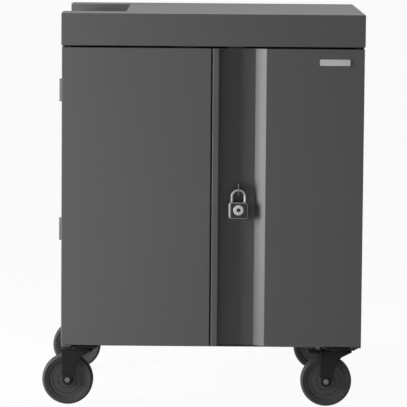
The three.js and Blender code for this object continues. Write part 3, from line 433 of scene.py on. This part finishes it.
class Wire:
    """An output socket of a node tree. Arithmetic on it adds Math nodes."""

    def __init__(self, tree, output=None):
        self.tree = tree
        self.output = output

    def node(self, kind, settings=None, inputs=None, output=0):
        """Adds a node: its type, its settings, then its input sockets by name or number."""
        made = self.tree.nodes.new(kind)
        for key, value in (settings or {}).items():
            setattr(made, key, value)
        for key, value in (inputs or {}).items():
            if isinstance(value, Wire):
                self.tree.links.new(value.output, made.inputs[key])
            else:
                made.inputs[key].default_value = value
        return Wire(self.tree, made.outputs[output] if len(made.outputs) else None)

    def math(self, operation, first, second):
        return self.node("ShaderNodeMath", {"operation": operation}, {0: first, 1: second})

    def __add__(self, other):
        return self.math("ADD", self, other)

    def __radd__(self, other):
        return self.math("ADD", other, self)

    def __sub__(self, other):
        return self.math("SUBTRACT", self, other)

    def __rsub__(self, other):
        return self.math("SUBTRACT", other, self)

    def __mul__(self, other):
        return self.math("MULTIPLY", self, other)

    def __rmul__(self, other):
        return self.math("MULTIPLY", other, self)

    def noise(self, scale, fineness, stretch=EVEN):
        """Noise from 0 to 1 in the object's own coordinates, with `scale` waves to the metre."""
        place = self.node("ShaderNodeTexCoord", output="Object")
        place = self.node("ShaderNodeMapping", inputs={"Vector": place, "Scale": stretch})
        return self.node("ShaderNodeTexNoise", inputs={"Vector": place, "Scale": scale, "Detail": fineness})

    def ramp(self, low, high):
        """0 below `low`, 1 above `high` and a smooth step between."""
        return self.node("ShaderNodeMapRange", {"interpolation_type": "SMOOTHSTEP"},
                         {"Value": self, "From Min": low, "From Max": high})

    def mix(self, first, second):
        """The first colour where this is 0, the second where it is 1."""
        colours = [part if isinstance(part, Wire) else (*part, 1.0) for part in (first, second)]
        return self.node("ShaderNodeMix", {"data_type": "RGBA"},
                         {MIX_FACTOR: self, MIX_FIRST: colours[0], MIX_SECOND: colours[1]}, MIX_RESULT)

    def bump(self, depth):
        return self.node("ShaderNodeBump", inputs={"Height": self, "Strength": 1.0, "Distance": depth})


def emptied_tree(owner):
    """The node tree of a material or a world, with its first nodes taken out."""
    owner.use_nodes = True
    owner.node_tree.nodes.clear()
    return Wire(owner.node_tree)


def shade(colour, level):
    return tuple(level * part for part in colour)


def finish(name, colour, roughness, metallic=0.0, grain=900.0, depth=0.05 * MM, stretch=EVEN,
           clouding=0.08, wear=0.25, coat=0.0, shine=0.5):
    """A used surface: broad clouding, fine grain in the normal, and thin scuffs, paler and rougher."""
    material = bpy.data.materials.new(name)
    start = emptied_tree(material)
    cloud = start.noise(CLOUD_SCALE, CLOUD_FINENESS)
    fine = start.noise(grain, GRAIN_FINENESS, stretch)
    streak = start.noise(STREAK_SCALE, STREAK_FINENESS, STREAK_STRETCH).ramp(*STREAK_BAND)
    patch = start.noise(PATCH_SCALE, PATCH_FINENESS).ramp(*PATCH_BAND)
    scuff = streak * patch * wear
    base = cloud.mix(shade(colour, 1 - clouding), shade(colour, 1 + clouding))
    base = scuff.mix(base, shade(colour, SCUFF_PALENESS))
    rough = (cloud - NOISE_MIDDLE) * CLOUD_ROUGHNESS + (fine - NOISE_MIDDLE) * GRAIN_ROUGHNESS
    rough = rough + scuff * SCUFF_ROUGHNESS + roughness
    surface = start.node("ShaderNodeBsdfPrincipled", inputs={
        "Base Color": base,
        "Roughness": rough,
        "Metallic": metallic,
        "Coat Weight": coat,
        "Specular IOR Level": shine,
        "Normal": fine.bump(depth),
    })
    start.node("ShaderNodeOutputMaterial", inputs={"Surface": surface})
    return material


MATERIALS = {
    "charcoal": finish("powder_coat_charcoal", CHARCOAL, roughness=0.54, grain=700.0, depth=0.06 * MM,
                       clouding=0.04, shine=0.3),
    "interior": finish("powder_coat_interior", INTERIOR_GREY, roughness=0.5, grain=700.0, depth=0.06 * MM),
    "dark": finish("black_coated_steel", DARK_COAT, roughness=0.6, grain=800.0, shine=0.15),
    "black": finish("black_moulded_plastic", BLACK_PLASTIC, roughness=0.5, grain=1500.0, depth=0.03 * MM),
    "wheel": finish("grey_moulded_nylon", WHEEL_GREY, roughness=0.5, grain=1200.0, depth=0.03 * MM,
                    shine=0.4),
    "rubber": finish("tread_rubber", RUBBER_GREY, roughness=0.72, grain=600.0, depth=0.1 * MM,
                     clouding=0.15, wear=0.5, shine=0.4),
    "hook": finish("grey_hook_plastic", HOOK_GREY, roughness=0.5, grain=1200.0, depth=0.03 * MM),
    "divider": finish("grey_divider_plastic", DIVIDER_GREY, roughness=0.55, grain=1000.0, depth=0.03 * MM),
    "steel": finish("zinc_plated_steel", PALE_METAL, roughness=0.5, metallic=0.75, grain=500.0,
                    depth=0.01 * MM, clouding=0.12),
    "bolt": finish("dulled_bolt_steel", BOLT_METAL, roughness=0.5, metallic=0.6, grain=600.0,
                   depth=0.02 * MM, clouding=0.15),
    "badge": finish("brushed_badge_metal", BADGE_METAL, roughness=0.45, metallic=0.2, grain=1800.0,
                    depth=0.02 * MM, stretch=(0.03, 1.0, 1.0)),
    "lamp": finish("green_lamp_lens", LAMP_GREEN, roughness=0.2, depth=0.01 * MM, wear=0.0, coat=0.5),
    # The pale case also shows as a painted highlight along the padlock's left side
    "case": finish("satin_padlock_case_and_highlight", CASE_METAL_AND_HIGHLIGHT, roughness=0.45, metallic=0.5, grain=1400.0,
                   depth=0.02 * MM),
    "padlock": finish("satin_padlock_metal", PADLOCK_METAL, roughness=0.36, metallic=0.6, grain=1400.0,
                      depth=0.02 * MM),
    "dial": finish("pale_dial_face", DIAL_WHITE, roughness=0.4, metallic=0.2, grain=1500.0,
                   depth=0.01 * MM),
    # A black sheet behind the vents: painted shade for the inside of the cabinet
    "screen": finish("black_vent_shade_screen", INK_AND_SHADE, roughness=0.7, grain=350.0, depth=0.4 * MM),
    # Black for the dial's print, and painted shade in place of holes and slots
    "ink_and_hole_shade": finish("dial_ink_and_hole_shade", INK_AND_SHADE, roughness=0.5, grain=1500.0, depth=0.01 * MM),
}

# The record's material slot that matches each finish of the new pieces
SLOTS = {
    "charcoal": "charcoal_paint",
    "dark": "dark_steel",
    "screen": "dark_steel",
    "wheel": "black_plastic",
    "rubber": "tyre_rubber",
    "hook": "hook_plastic",
    "steel": "bright_steel",
    "bolt": "bright_steel",
    "case": "padlock_steel",
    "padlock": "padlock_steel",
    "dial": "dial_face",
    "ink_and_hole_shade": "black_plastic",
}


# Pieces

def add_object(name, shapes, material):
    """One mesh object at the origin from several shapes, smooth except across sharp edges."""
    points = []
    faces = []
    start = 0
    for shape_points, shape_faces in shapes:
        points.append(shape_points)
        faces += [[start + corner for corner in face] for face in shape_faces]
        start += len(shape_points)
    mesh = bpy.data.meshes.new(name)
    mesh.from_pydata(np.concatenate(points).tolist(), [], faces)
    mesh.shade_smooth()
    mesh.set_sharp_from_angle(angle=SHARP_ANGLE)
    made = bpy.data.objects.new(name, mesh)
    bpy.context.scene.collection.objects.link(made)
    made.modifiers.new("flat faces stay flat", "WEIGHTED_NORMAL").keep_sharp = True
    made.data.materials.append(MATERIALS[material])
    material in SLOTS
    return made


def stand_in(node, material, *shapes):
    """A finer surface in place of a CAD node, moving with that node's body."""
    made = add_object(f"{node}_surface", shapes, material)
    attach(made, body_of(frame["nodes"][node])[0])
    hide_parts(node)


def detail(name, body, material, *shapes):
    """A small piece that the CAD model leaves out, moving with a body."""
    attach(add_object(name, shapes, material), body)


def carry_over(node, material):
    """A CAD node kept as it is, with its edges broken and a finish put on."""
    kept = frame["nodes"][node]
    kept.modifiers.new("whole faces", "WELD").merge_threshold = SAME_POINT
    bevel = kept.modifiers.new("broken edges", "BEVEL")
    bevel.width = CAD_EDGE
    bevel.segments = CAD_EDGE_STEPS
    bevel.limit_method = "ANGLE"
    kept.data.materials.clear()
    kept.data.materials.append(MATERIALS[material])


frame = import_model()


def front_doors():
    """The left door is a plain pan; the right one has the padlock channel and its slanted reveal."""
    low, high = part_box("left_door")
    plan = rectangle((low[0], high[0]), (low[1], high[1] - LINER_PROUD))
    stand_in("left_door", "charcoal", folded_shape(plan, low, high))
    low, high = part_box("right_door")
    left, front = low[:2]
    back = high[1] - LINER_PROUD
    plan = [
        (left, front),
        (left + CHANNEL_START, front),
        (left + CHANNEL_START, front + CHANNEL_DEPTH),
        (left + CHANNEL_END, front + CHANNEL_DEPTH),
        (left + REVEAL_END, front),
        (high[0], front),
        (high[0], back),
        (left, back),
    ]
    stand_in("right_door", "charcoal", folded_shape(plan, low, high))


def top_cover():
    """A deep lid seen from above as a rectangle with the notch taken out of its left side."""
    low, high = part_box("top_cover")
    left, front, bottom = low
    right, rear = high[:2]
    notch_front = front + NOTCH_FRONT_RIM
    notch_rear = rear - NOTCH_REAR_RIM
    notch_end = left + NOTCH_WIDTH
    plan = [
        (left, front),
        (right, front),
        (right, rear),
        (left, rear),
        (left, notch_rear),
        (notch_end, notch_rear),
        (notch_end, notch_front),
        (left, notch_front),
    ]
    lid = folded_shape(plan, low, high)
    floor = box_shape((left, notch_front, bottom), (notch_end, notch_rear, NOTCH_FLOOR),
                      "z", FOLD_RADIUS, CAD_EDGE)
    stand_in("top_cover", "charcoal", lid, floor)


def push_handle():
    """A round bar across the notch, with a rosette at each end."""
    low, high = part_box("push_handle")
    x, _, z = middle_of(low, high)
    rosette = (high[2] - low[2]) / 2
    bar = rod_shape(HANDLE_RADIUS, "y", (x, z), (low[1], high[1]), CAD_EDGE)
    near = rod_shape(rosette, "y", (x, z), (low[1], low[1] + ROSETTE_THICKNESS), RIM_RADIUS)
    far = rod_shape(rosette, "y", (x, z), (high[1] - ROSETTE_THICKNESS, high[1]), RIM_RADIUS)
    stand_in("push_handle", "charcoal", bar, near, far)


def cord_hooks():
    """Each hook is a foot on the side panel, a stem and an upright bar."""
    for node in ("cord_hook_upper", "cord_hook_lower"):
        low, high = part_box(node)
        _, y, z = middle_of(low, high)
        bar_half = (HOOK_HALF_DEPTH, (high[2] - low[2]) / 2)
        bar = plate_shape(bar_half, "x", (y, z), (low[0], low[0] + HOOK_BAR), HOOK_CORNER, RIM_RADIUS)
        foot_span = (high[0] - HOOK_FOOT, high[0])
        foot = plate_shape(HOOK_FOOT_HALF, "x", (y, z), foot_span, HOOK_CORNER, CAD_EDGE)
        stem_span = (low[0] + HOOK_BAR / 2, high[0] - HOOK_FOOT / 2)
        stem = rod_shape(HOOK_STEM_RADIUS, "x", (y, z), stem_span, CAD_EDGE)
        stand_in(node, "hook", bar, foot, stem)


def padlock_case():
    """A pale block with a darker plate on its front. The plate sits further in from the left, so the wider
    pale band there is a painted highlight for light falling on the case's left side.
    """
    low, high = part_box("padlock_body")
    stand_in("padlock_body", "case", box_shape(low, high, "y", PADLOCK_CORNER, PADLOCK_RIM))
    plate = box_shape((low[0] + FACE_LEFT_HIGHLIGHT_MARGIN, low[1] - FACE_PROUD, low[2] + FACE_MARGIN),
                      (high[0] - FACE_MARGIN, low[1] + FACE_PROUD, high[2] - FACE_MARGIN),
                      "y", FACE_CORNER, FACE_RIM)
    detail("padlock_face", "padlock", "padlock", plate)


def padlock_shackle():
    """A rod bent into a half circle, with two straight legs down to the case."""
    low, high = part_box("padlock_shackle")
    x, y, _ = middle_of(low, high)
    half = (high[0] - low[0]) / 2 - SHACKLE_RADIUS
    crown = high[2] - SHACKLE_RADIUS - half
    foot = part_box("padlock_body")[1][2] - RIM_RADIUS
    angles = np.linspace(math.pi, 0, ROD_SIDES)
    bow = along("y", np.stack([x + half * np.cos(angles), crown + half * np.sin(angles)], 1), y)
    path = np.concatenate([[(x - half, y, foot)], bow, [(x + half, y, foot)]])
    stand_in("padlock_shackle", "steel", bent_rod(path, SHACKLE_RADIUS, (0, 1, 0)))


def number_shape(number, turn):
    """A number's flat faces, set above the dial's middle and turned about it."""
    curve = bpy.data.curves.new("number", "FONT")
    curve.body = str(number)
    curve.size = NUMBER_SIZE
    curve.align_x = "CENTER"
    curve.align_y = "CENTER"
    holder = bpy.data.objects.new("number", curve)
    mesh = bpy.data.meshes.new_from_object(holder)
    points = np.array([vertex.co[:2] for vertex in mesh.vertices]) + (0, NUMBER_RADIUS)
    faces = [list(face.vertices) for face in mesh.polygons]
    bpy.data.objects.remove(holder)
    bpy.data.curves.remove(curve)
    bpy.data.meshes.remove(mesh)
    return points @ turn, faces


def padlock_dial():
    """A pale disc with a dark knob, ticks round its rim and a number at every fifth tick."""
    low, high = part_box("padlock_dial")
    x, _, z = middle_of(low, high)
    stand_in("padlock_dial", "dial", rod_shape(DIAL_RADIUS, "y", (x, z), (low[1], high[1]), DIAL_RIM))
    knob = rod_shape(KNOB_RADIUS, "y", (x, z), (low[1] - KNOB_PROUD, high[1]), CAD_EDGE)
    detail("dial_knob", "dial", "padlock", knob)
    ink_and_hole_shade = low[1] - INK_THICKNESS
    marks = []
    for tick in range(TICK_COUNT):
        angle = 2 * math.pi * tick / TICK_COUNT
        turn = np.array([(math.cos(angle), -math.sin(angle)), (math.sin(angle), math.cos(angle))])
        numbered = tick % TICKS_PER_NUMBER == 0
        inner = LONG_TICK_INNER if numbered else TICK_INNER
        bar = np.array(rectangle((-TICK_HALF_WIDTH, TICK_HALF_WIDTH), (inner, TICK_OUTER))) @ turn
        marks.append((along("y", bar + (x, z), ink_and_hole_shade), [[0, 1, 2, 3]]))
        if numbered:
            points, faces = number_shape(tick, turn)
            marks.append((along("y", points + (x, z), ink_and_hole_shade), faces))
    detail("dial_marks", "dial", "ink_and_hole_shade", *marks)


def mirrored(half):
    """Half of a wheel's profile, from its bore outwards, and the same on the other side of the wheel."""
    return [(radius, -place) for radius, place in half] + half[::-1]


def tyre_profile():
    """A tyre with straight sides and a crowned tread."""
    half = [
        (TYRE_INNER, RIM_HALF_WIDTH),
        (WHEEL_RADIUS - TYRE_SHOULDER, TYRE_HALF_WIDTH),
        (WHEEL_RADIUS, TREAD_HALF_WIDTH),
    ]
    return rounded(mirrored(half), TYRE_EDGE)


def core_profile():
    """A wheel core whose faces carry a hub and round grooves."""
    half = [(BORE_RADIUS, HUB_HALF_WIDTH), (HUB_RADIUS, HUB_HALF_WIDTH), (HUB_RADIUS, CORE_FACE)]
    groove_floor = CORE_FACE - GROOVE_DEPTH
    for inner, outer in CORE_GROOVES:
        half += [(inner, CORE_FACE), (inner, groove_floor), (outer, groove_floor), (outer, CORE_FACE)]
    half.append((CORE_RADIUS, CORE_FACE))
    return rounded(mirrored(half), CORE_EDGE)


def fork_shapes(x, y, z):
    """Two pressed legs, each with a round end about the axle at (x, y, z), under a flat crown."""
    swivel = x + WHEEL_TRAIL
    angles = np.linspace(math.pi, 2 * math.pi, FORK_END_STEPS)
    round_end = np.stack([x + FORK_END_RADIUS * np.cos(angles), z + FORK_END_RADIUS * np.sin(angles)], 1)
    nose = [FORK_WAIST, FORK_KNEE, (FORK_NOSE, FORK_TOP - FORK_SHEET), (FORK_NOSE, FORK_TOP - FORK_EDGE)]
    rear_corner = (swivel + FORK_REAR, FORK_TOP - FORK_EDGE)
    side = np.concatenate([[rear_corner], round_end, np.array(nose) + (swivel, 0)])
    near_leg = rounded_prism(side, "y", (y - FORK_OUTER, y - FORK_INNER), FORK_EDGE)
    far_leg = rounded_prism(side, "y", (y + FORK_INNER, y + FORK_OUTER), FORK_EDGE)
    crown = box_shape((swivel + FORK_REAR, y - FORK_OUTER, FORK_TOP - FORK_SHEET),
                      (swivel + FORK_NOSE, y + FORK_OUTER, FORK_TOP), "z", RIM_RADIUS, FORK_EDGE)
    return near_leg, far_leg, crown


def axle_shapes(x, z, low, high):
    """A pin with a six-sided head at each end, and the washers under its heads."""
    near = low + AXLE_HEAD_THICKNESS
    far = high - AXLE_HEAD_THICKNESS
    pin = [
        rod_shape(AXLE_RADIUS, "y", (x, z), (near, far), CAD_EDGE),
        bolt_head(AXLE_HEAD_RADIUS, "y", (x, z), (low, near)),
        bolt_head(AXLE_HEAD_RADIUS, "y", (x, z), (far, high)),
    ]
    washers = [
        rod_shape(WASHER_RADIUS, "y", (x, z), (near - WASHER_THICKNESS, near), CAD_EDGE),
        rod_shape(WASHER_RADIUS, "y", (x, z), (far, far + WASHER_THICKNESS), CAD_EDGE),
    ]
    return pin, washers


def plate_bolts(name):
    """Four bolt heads under a caster's plate."""
    low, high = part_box(f"{name}_caster_plate")
    under = high[2] - PLATE_THICKNESS
    span = (under - PLATE_BOLT_HEIGHT, under + CAD_EDGE)
    return [
        bolt_head(PLATE_BOLT_RADIUS, "z", (x, y), span)
        for x in (low[0] + PLATE_BOLT_INSET, high[0] - PLATE_BOLT_INSET)
        for y in (low[1] + PLATE_BOLT_INSET, high[1] - PLATE_BOLT_INSET)
    ]


def casters():
    """Wheels with a round tread, pressed forks and their bolts."""
    tyre = tyre_profile()
    core = core_profile()
    for name in CASTERS:
        low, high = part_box(f"{name}_caster_axle")
        x, y, z = middle_of(low, high)
        stand_in(f"{name}_tyre", "rubber", wheel_shape(tyre, (x, y, z)))
        stand_in(f"{name}_wheel_core", "wheel", wheel_shape(core, (x, y, z)))
        stand_in(f"{name}_caster_fork", "dark", *fork_shapes(x, y, z))
        pin, washers = axle_shapes(x, z, low[1], high[1])
        stand_in(f"{name}_caster_axle", "bolt", *pin)
        detail(f"{name}_axle_washers", f"{name}_fork", "dark", *washers)
        detail(f"{name}_plate_bolts", "cabinet", "dark", *plate_bolts(name))


def rear_fittings():
    """A black screen behind the rear door's vents, put there as painted shade for the inside of the
    cabinet, and a key slot in its lock, a dark mark painted as shade for its hollow.
    """
    low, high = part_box("rear_door")
    x = middle_of(low, high)[0]
    z = high[2] - SCREEN_TOP_DROP - SCREEN_HEIGHT / 2
    half = (SCREEN_HALF_WIDTH, SCREEN_HEIGHT / 2)
    face = high[1] - DOOR_SHEET
    # Painted shade: a black sheet that keeps the cabinet dark behind the vents
    screen = plate_shape(half, "y", (x, z), (face - SCREEN_THICKNESS, face), FOLD_RADIUS, SCREEN_RIM)
    detail("vent_shade_screen", "rear_door", "screen", screen)
    low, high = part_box("rear_lock_body")
    x, _, z = middle_of(low, high)
    # The key slot is a dark mark: painted shade for its hollow
    detail("key_slot", "rear_lock", "ink_and_hole_shade", mark(KEY_SLOT_HALF, (x, z), high[1]))


def outlets():
    """A row of socket faces along each strip, each with two blade slots and a round earth hole, drawn as
    dark marks that are painted shade for their hollows.
    """
    for node in ("lower_outlet_strip", "upper_outlet_strip"):
        low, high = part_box(node)
        middle, _, z = middle_of(low, high)
        rear = high[1]
        face = rear + OUTLET_PROUD
        socket_span = (rear - CAD_EDGE, face)
        hole_span = (face - MARK_DEPTH, face + MARK_DEPTH)
        sockets = []
        holes = []
        for x in row(middle, OUTLET_COUNT, OUTLET_PITCH):
            sockets.append(plate_shape(OUTLET_HALF, "y", (x, z), socket_span, OUTLET_CORNER, CAD_EDGE))
            # The blade slots and earth hole are dark marks: painted shade for their hollows
            holes.append(mark(BLADE_HALF, (x - BLADE_SPREAD, z + BLADE_RISE), face))
            holes.append(mark(BLADE_HALF, (x + BLADE_SPREAD, z + BLADE_RISE), face))
            holes.append(rod_shape(EARTH_RADIUS, "y", (x, z - EARTH_DROP), hole_span, MARK_RIM))
        detail(f"{node}_sockets", "cabinet", "hook", *sockets)
        detail(f"{node}_holes", "cabinet", "ink_and_hole_shade", *holes)


def controller_fittings():
    """Lamps, a grille and corner screws on the face of the power controller; the grille's slots are dark
    marks, painted shade for their hollows.
    """
    low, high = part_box("power_controller")
    middle = middle_of(low, high)[0]
    face = high[1]
    lamp_height = high[2] - LAMP_DROP
    lamp_span = (face - CAD_EDGE, face + LAMP_PROUD)
    lamps = [rod_shape(LAMP_RADIUS, "y", (x, lamp_height), lamp_span, LAMP_RIM)
             for x in row(middle, LAMP_COUNT, LAMP_PITCH)]
    detail("controller_lamps", "cabinet", "lamp", *lamps)
    slot_heights = high[2] - GRILLE_DROP - GRILLE_PITCH * np.arange(GRILLE_SLOTS)
    # The grille's slots are dark marks: painted shade for their hollows
    slots = [mark(GRILLE_HALF, (middle, z), face, GRILLE_CORNER) for z in slot_heights]
    detail("controller_grille", "cabinet", "ink_and_hole_shade", *slots)
    screws = [rod_shape(SCREW_RADIUS, "y", (x, z), (face - CAD_EDGE, face + SCREW_PROUD), SCREW_RIM)
              for x in (low[0] + SCREW_INSET, high[0] - SCREW_INSET)
              for z in (low[2] + SCREW_INSET, high[2] - SCREW_INSET)]
    detail("controller_screws", "cabinet", "bolt", *screws)


def inlet_fittings():
    """Three flat pins inside the supply inlet, the middle one higher."""
    low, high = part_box("power_inlet")
    _, y, z = middle_of(low, high)
    back = low[0] + SOCKET_DEPTH
    span = (back - PIN_LENGTH, back + CAD_EDGE)
    middles = ((y - PIN_SPREAD, z), (y, z + PIN_RISE), (y + PIN_SPREAD, z))
    pins = [plate_shape(PIN_HALF, "x", middle, span, PIN_CORNER, CAD_EDGE) for middle in middles]
    detail("inlet_pins", "cabinet", "steel", *pins)


# The CAD nodes that stay, by finish
KEPT = {
    "interior": ("base_pan", "roof_panel", "partition_panel", "device_shelf", "left_door_liner",
                 "right_door_liner"),
    "charcoal": ("left_side_panel", "right_side_panel", "rear_door"),
    "divider": ("lower_divider_rack", "upper_divider_rack"),
    "black": ("left_magnet_catch", "right_magnet_catch", "lower_outlet_strip", "upper_outlet_strip",
              "power_switch", "power_inlet"),
    "dark": ("power_controller", "front_right_brake_pedal", "rear_right_brake_pedal",
             "left_door_top_pin", "left_door_bottom_pin", "right_door_top_pin", "right_door_bottom_pin",
             "rear_door_top_pin", "rear_door_bottom_pin", *(f"{name}_caster_plate" for name in CASTERS)),
    "bolt": ("hasp_eye",),
    "steel": ("rear_lock_body", "rear_lock_cam"),
    "badge": ("name_badge",),
}


# Studio

def add_camera():
    """The camera's axes from its yaw, downward pitch and roll, as fitted to the photo."""
    right = Vector((math.cos(CAMERA_YAW), math.sin(CAMERA_YAW), 0))
    level = Vector((-math.sin(CAMERA_YAW), math.cos(CAMERA_YAW), 0))
    forward = level * math.cos(CAMERA_PITCH) - Vector((0, 0, math.sin(CAMERA_PITCH)))
    up = right.cross(forward)
    across = right * math.cos(CAMERA_ROLL) + up * math.sin(CAMERA_ROLL)
    upward = up * math.cos(CAMERA_ROLL) - right * math.sin(CAMERA_ROLL)
    data = bpy.data.cameras.new("photo_camera")
    data.sensor_width = CAMERA_SENSOR
    data.lens = CAMERA_LENS
    camera = bpy.data.objects.new("photo_camera", data)
    turn = Matrix((across, upward, -forward)).transposed().to_4x4()
    camera.matrix_world = Matrix.Translation(CAMERA_PLACE) @ turn
    bpy.context.scene.collection.objects.link(camera)
    bpy.context.scene.camera = camera


def add_lamps():
    for name, lamp in LAMPS.items():
        data = bpy.data.lights.new(name, "AREA")
        data.shape = "RECTANGLE"
        data.size, data.size_y = lamp["size"]
        data.energy = lamp["power"]
        made = bpy.data.objects.new(name, data)
        made.location = lamp["place"]
        made.rotation_euler = (LIGHT_TARGET - made.location).to_track_quat("-Z", "Y").to_euler()
        bpy.context.scene.collection.objects.link(made)


def background_rays(start):
    """1 for the rays that show the background: from the camera, off shiny pieces and through clear ones."""
    camera, shiny, clear = [start.node("ShaderNodeLightPath", output=f"Is {kind} Ray")
                            for kind in ("Camera", "Glossy", "Transmission")]
    return camera + shiny + clear


def add_world():
    """White where the background shows, and dim for all other light."""
    world = bpy.data.worlds.new("studio")
    bpy.context.scene.world = world
    start = emptied_tree(world)
    dim = start.node("ShaderNodeBackground", inputs={"Color": WHITE, "Strength": AMBIENT})
    white = start.node("ShaderNodeBackground", inputs={"Color": WHITE, "Strength": 1.0})
    sky = start.node("ShaderNodeMixShader", inputs={0: background_rays(start), 1: dim, 2: white})
    start.node("ShaderNodeOutputWorld", inputs={"Surface": sky})


def add_floor():
    """A pale floor, nearly white where it shows, that keeps the cart's shadow."""
    half = FLOOR_SIZE / 2
    corners = [(u, v, 0) for u, v in rectangle((-half, half), (-half, half))]
    mesh = bpy.data.meshes.new("floor")
    mesh.from_pydata(corners, [], [(0, 1, 2, 3)])
    floor = bpy.data.objects.new("floor", mesh)
    bpy.context.scene.collection.objects.link(floor)
    material = bpy.data.materials.new("pale_floor")
    start = emptied_tree(material)
    matt = start.node("ShaderNodeBsdfDiffuse", inputs={"Color": FLOOR_GREY})
    glow = start.node("ShaderNodeEmission", inputs={"Color": WHITE, "Strength": 1.0})
    share = background_rays(start) * FLOOR_GLOW
    surface = start.node("ShaderNodeMixShader", inputs={0: share, 1: matt, 2: glow})
    start.node("ShaderNodeOutputMaterial", inputs={"Surface": surface})
    floor.data.materials.append(material)


for kept_material, kept_nodes in KEPT.items():
    for kept_node in kept_nodes:
        carry_over(kept_node, kept_material)
front_doors()
top_cover()
push_handle()
cord_hooks()
padlock_case()
padlock_shackle()
padlock_dial()
casters()
rear_fittings()
outlets()
controller_fittings()
inlet_fittings()
add_camera()
add_lamps()
add_world()
add_floor()
bpy.context.scene.view_settings.view_transform = "Standard"
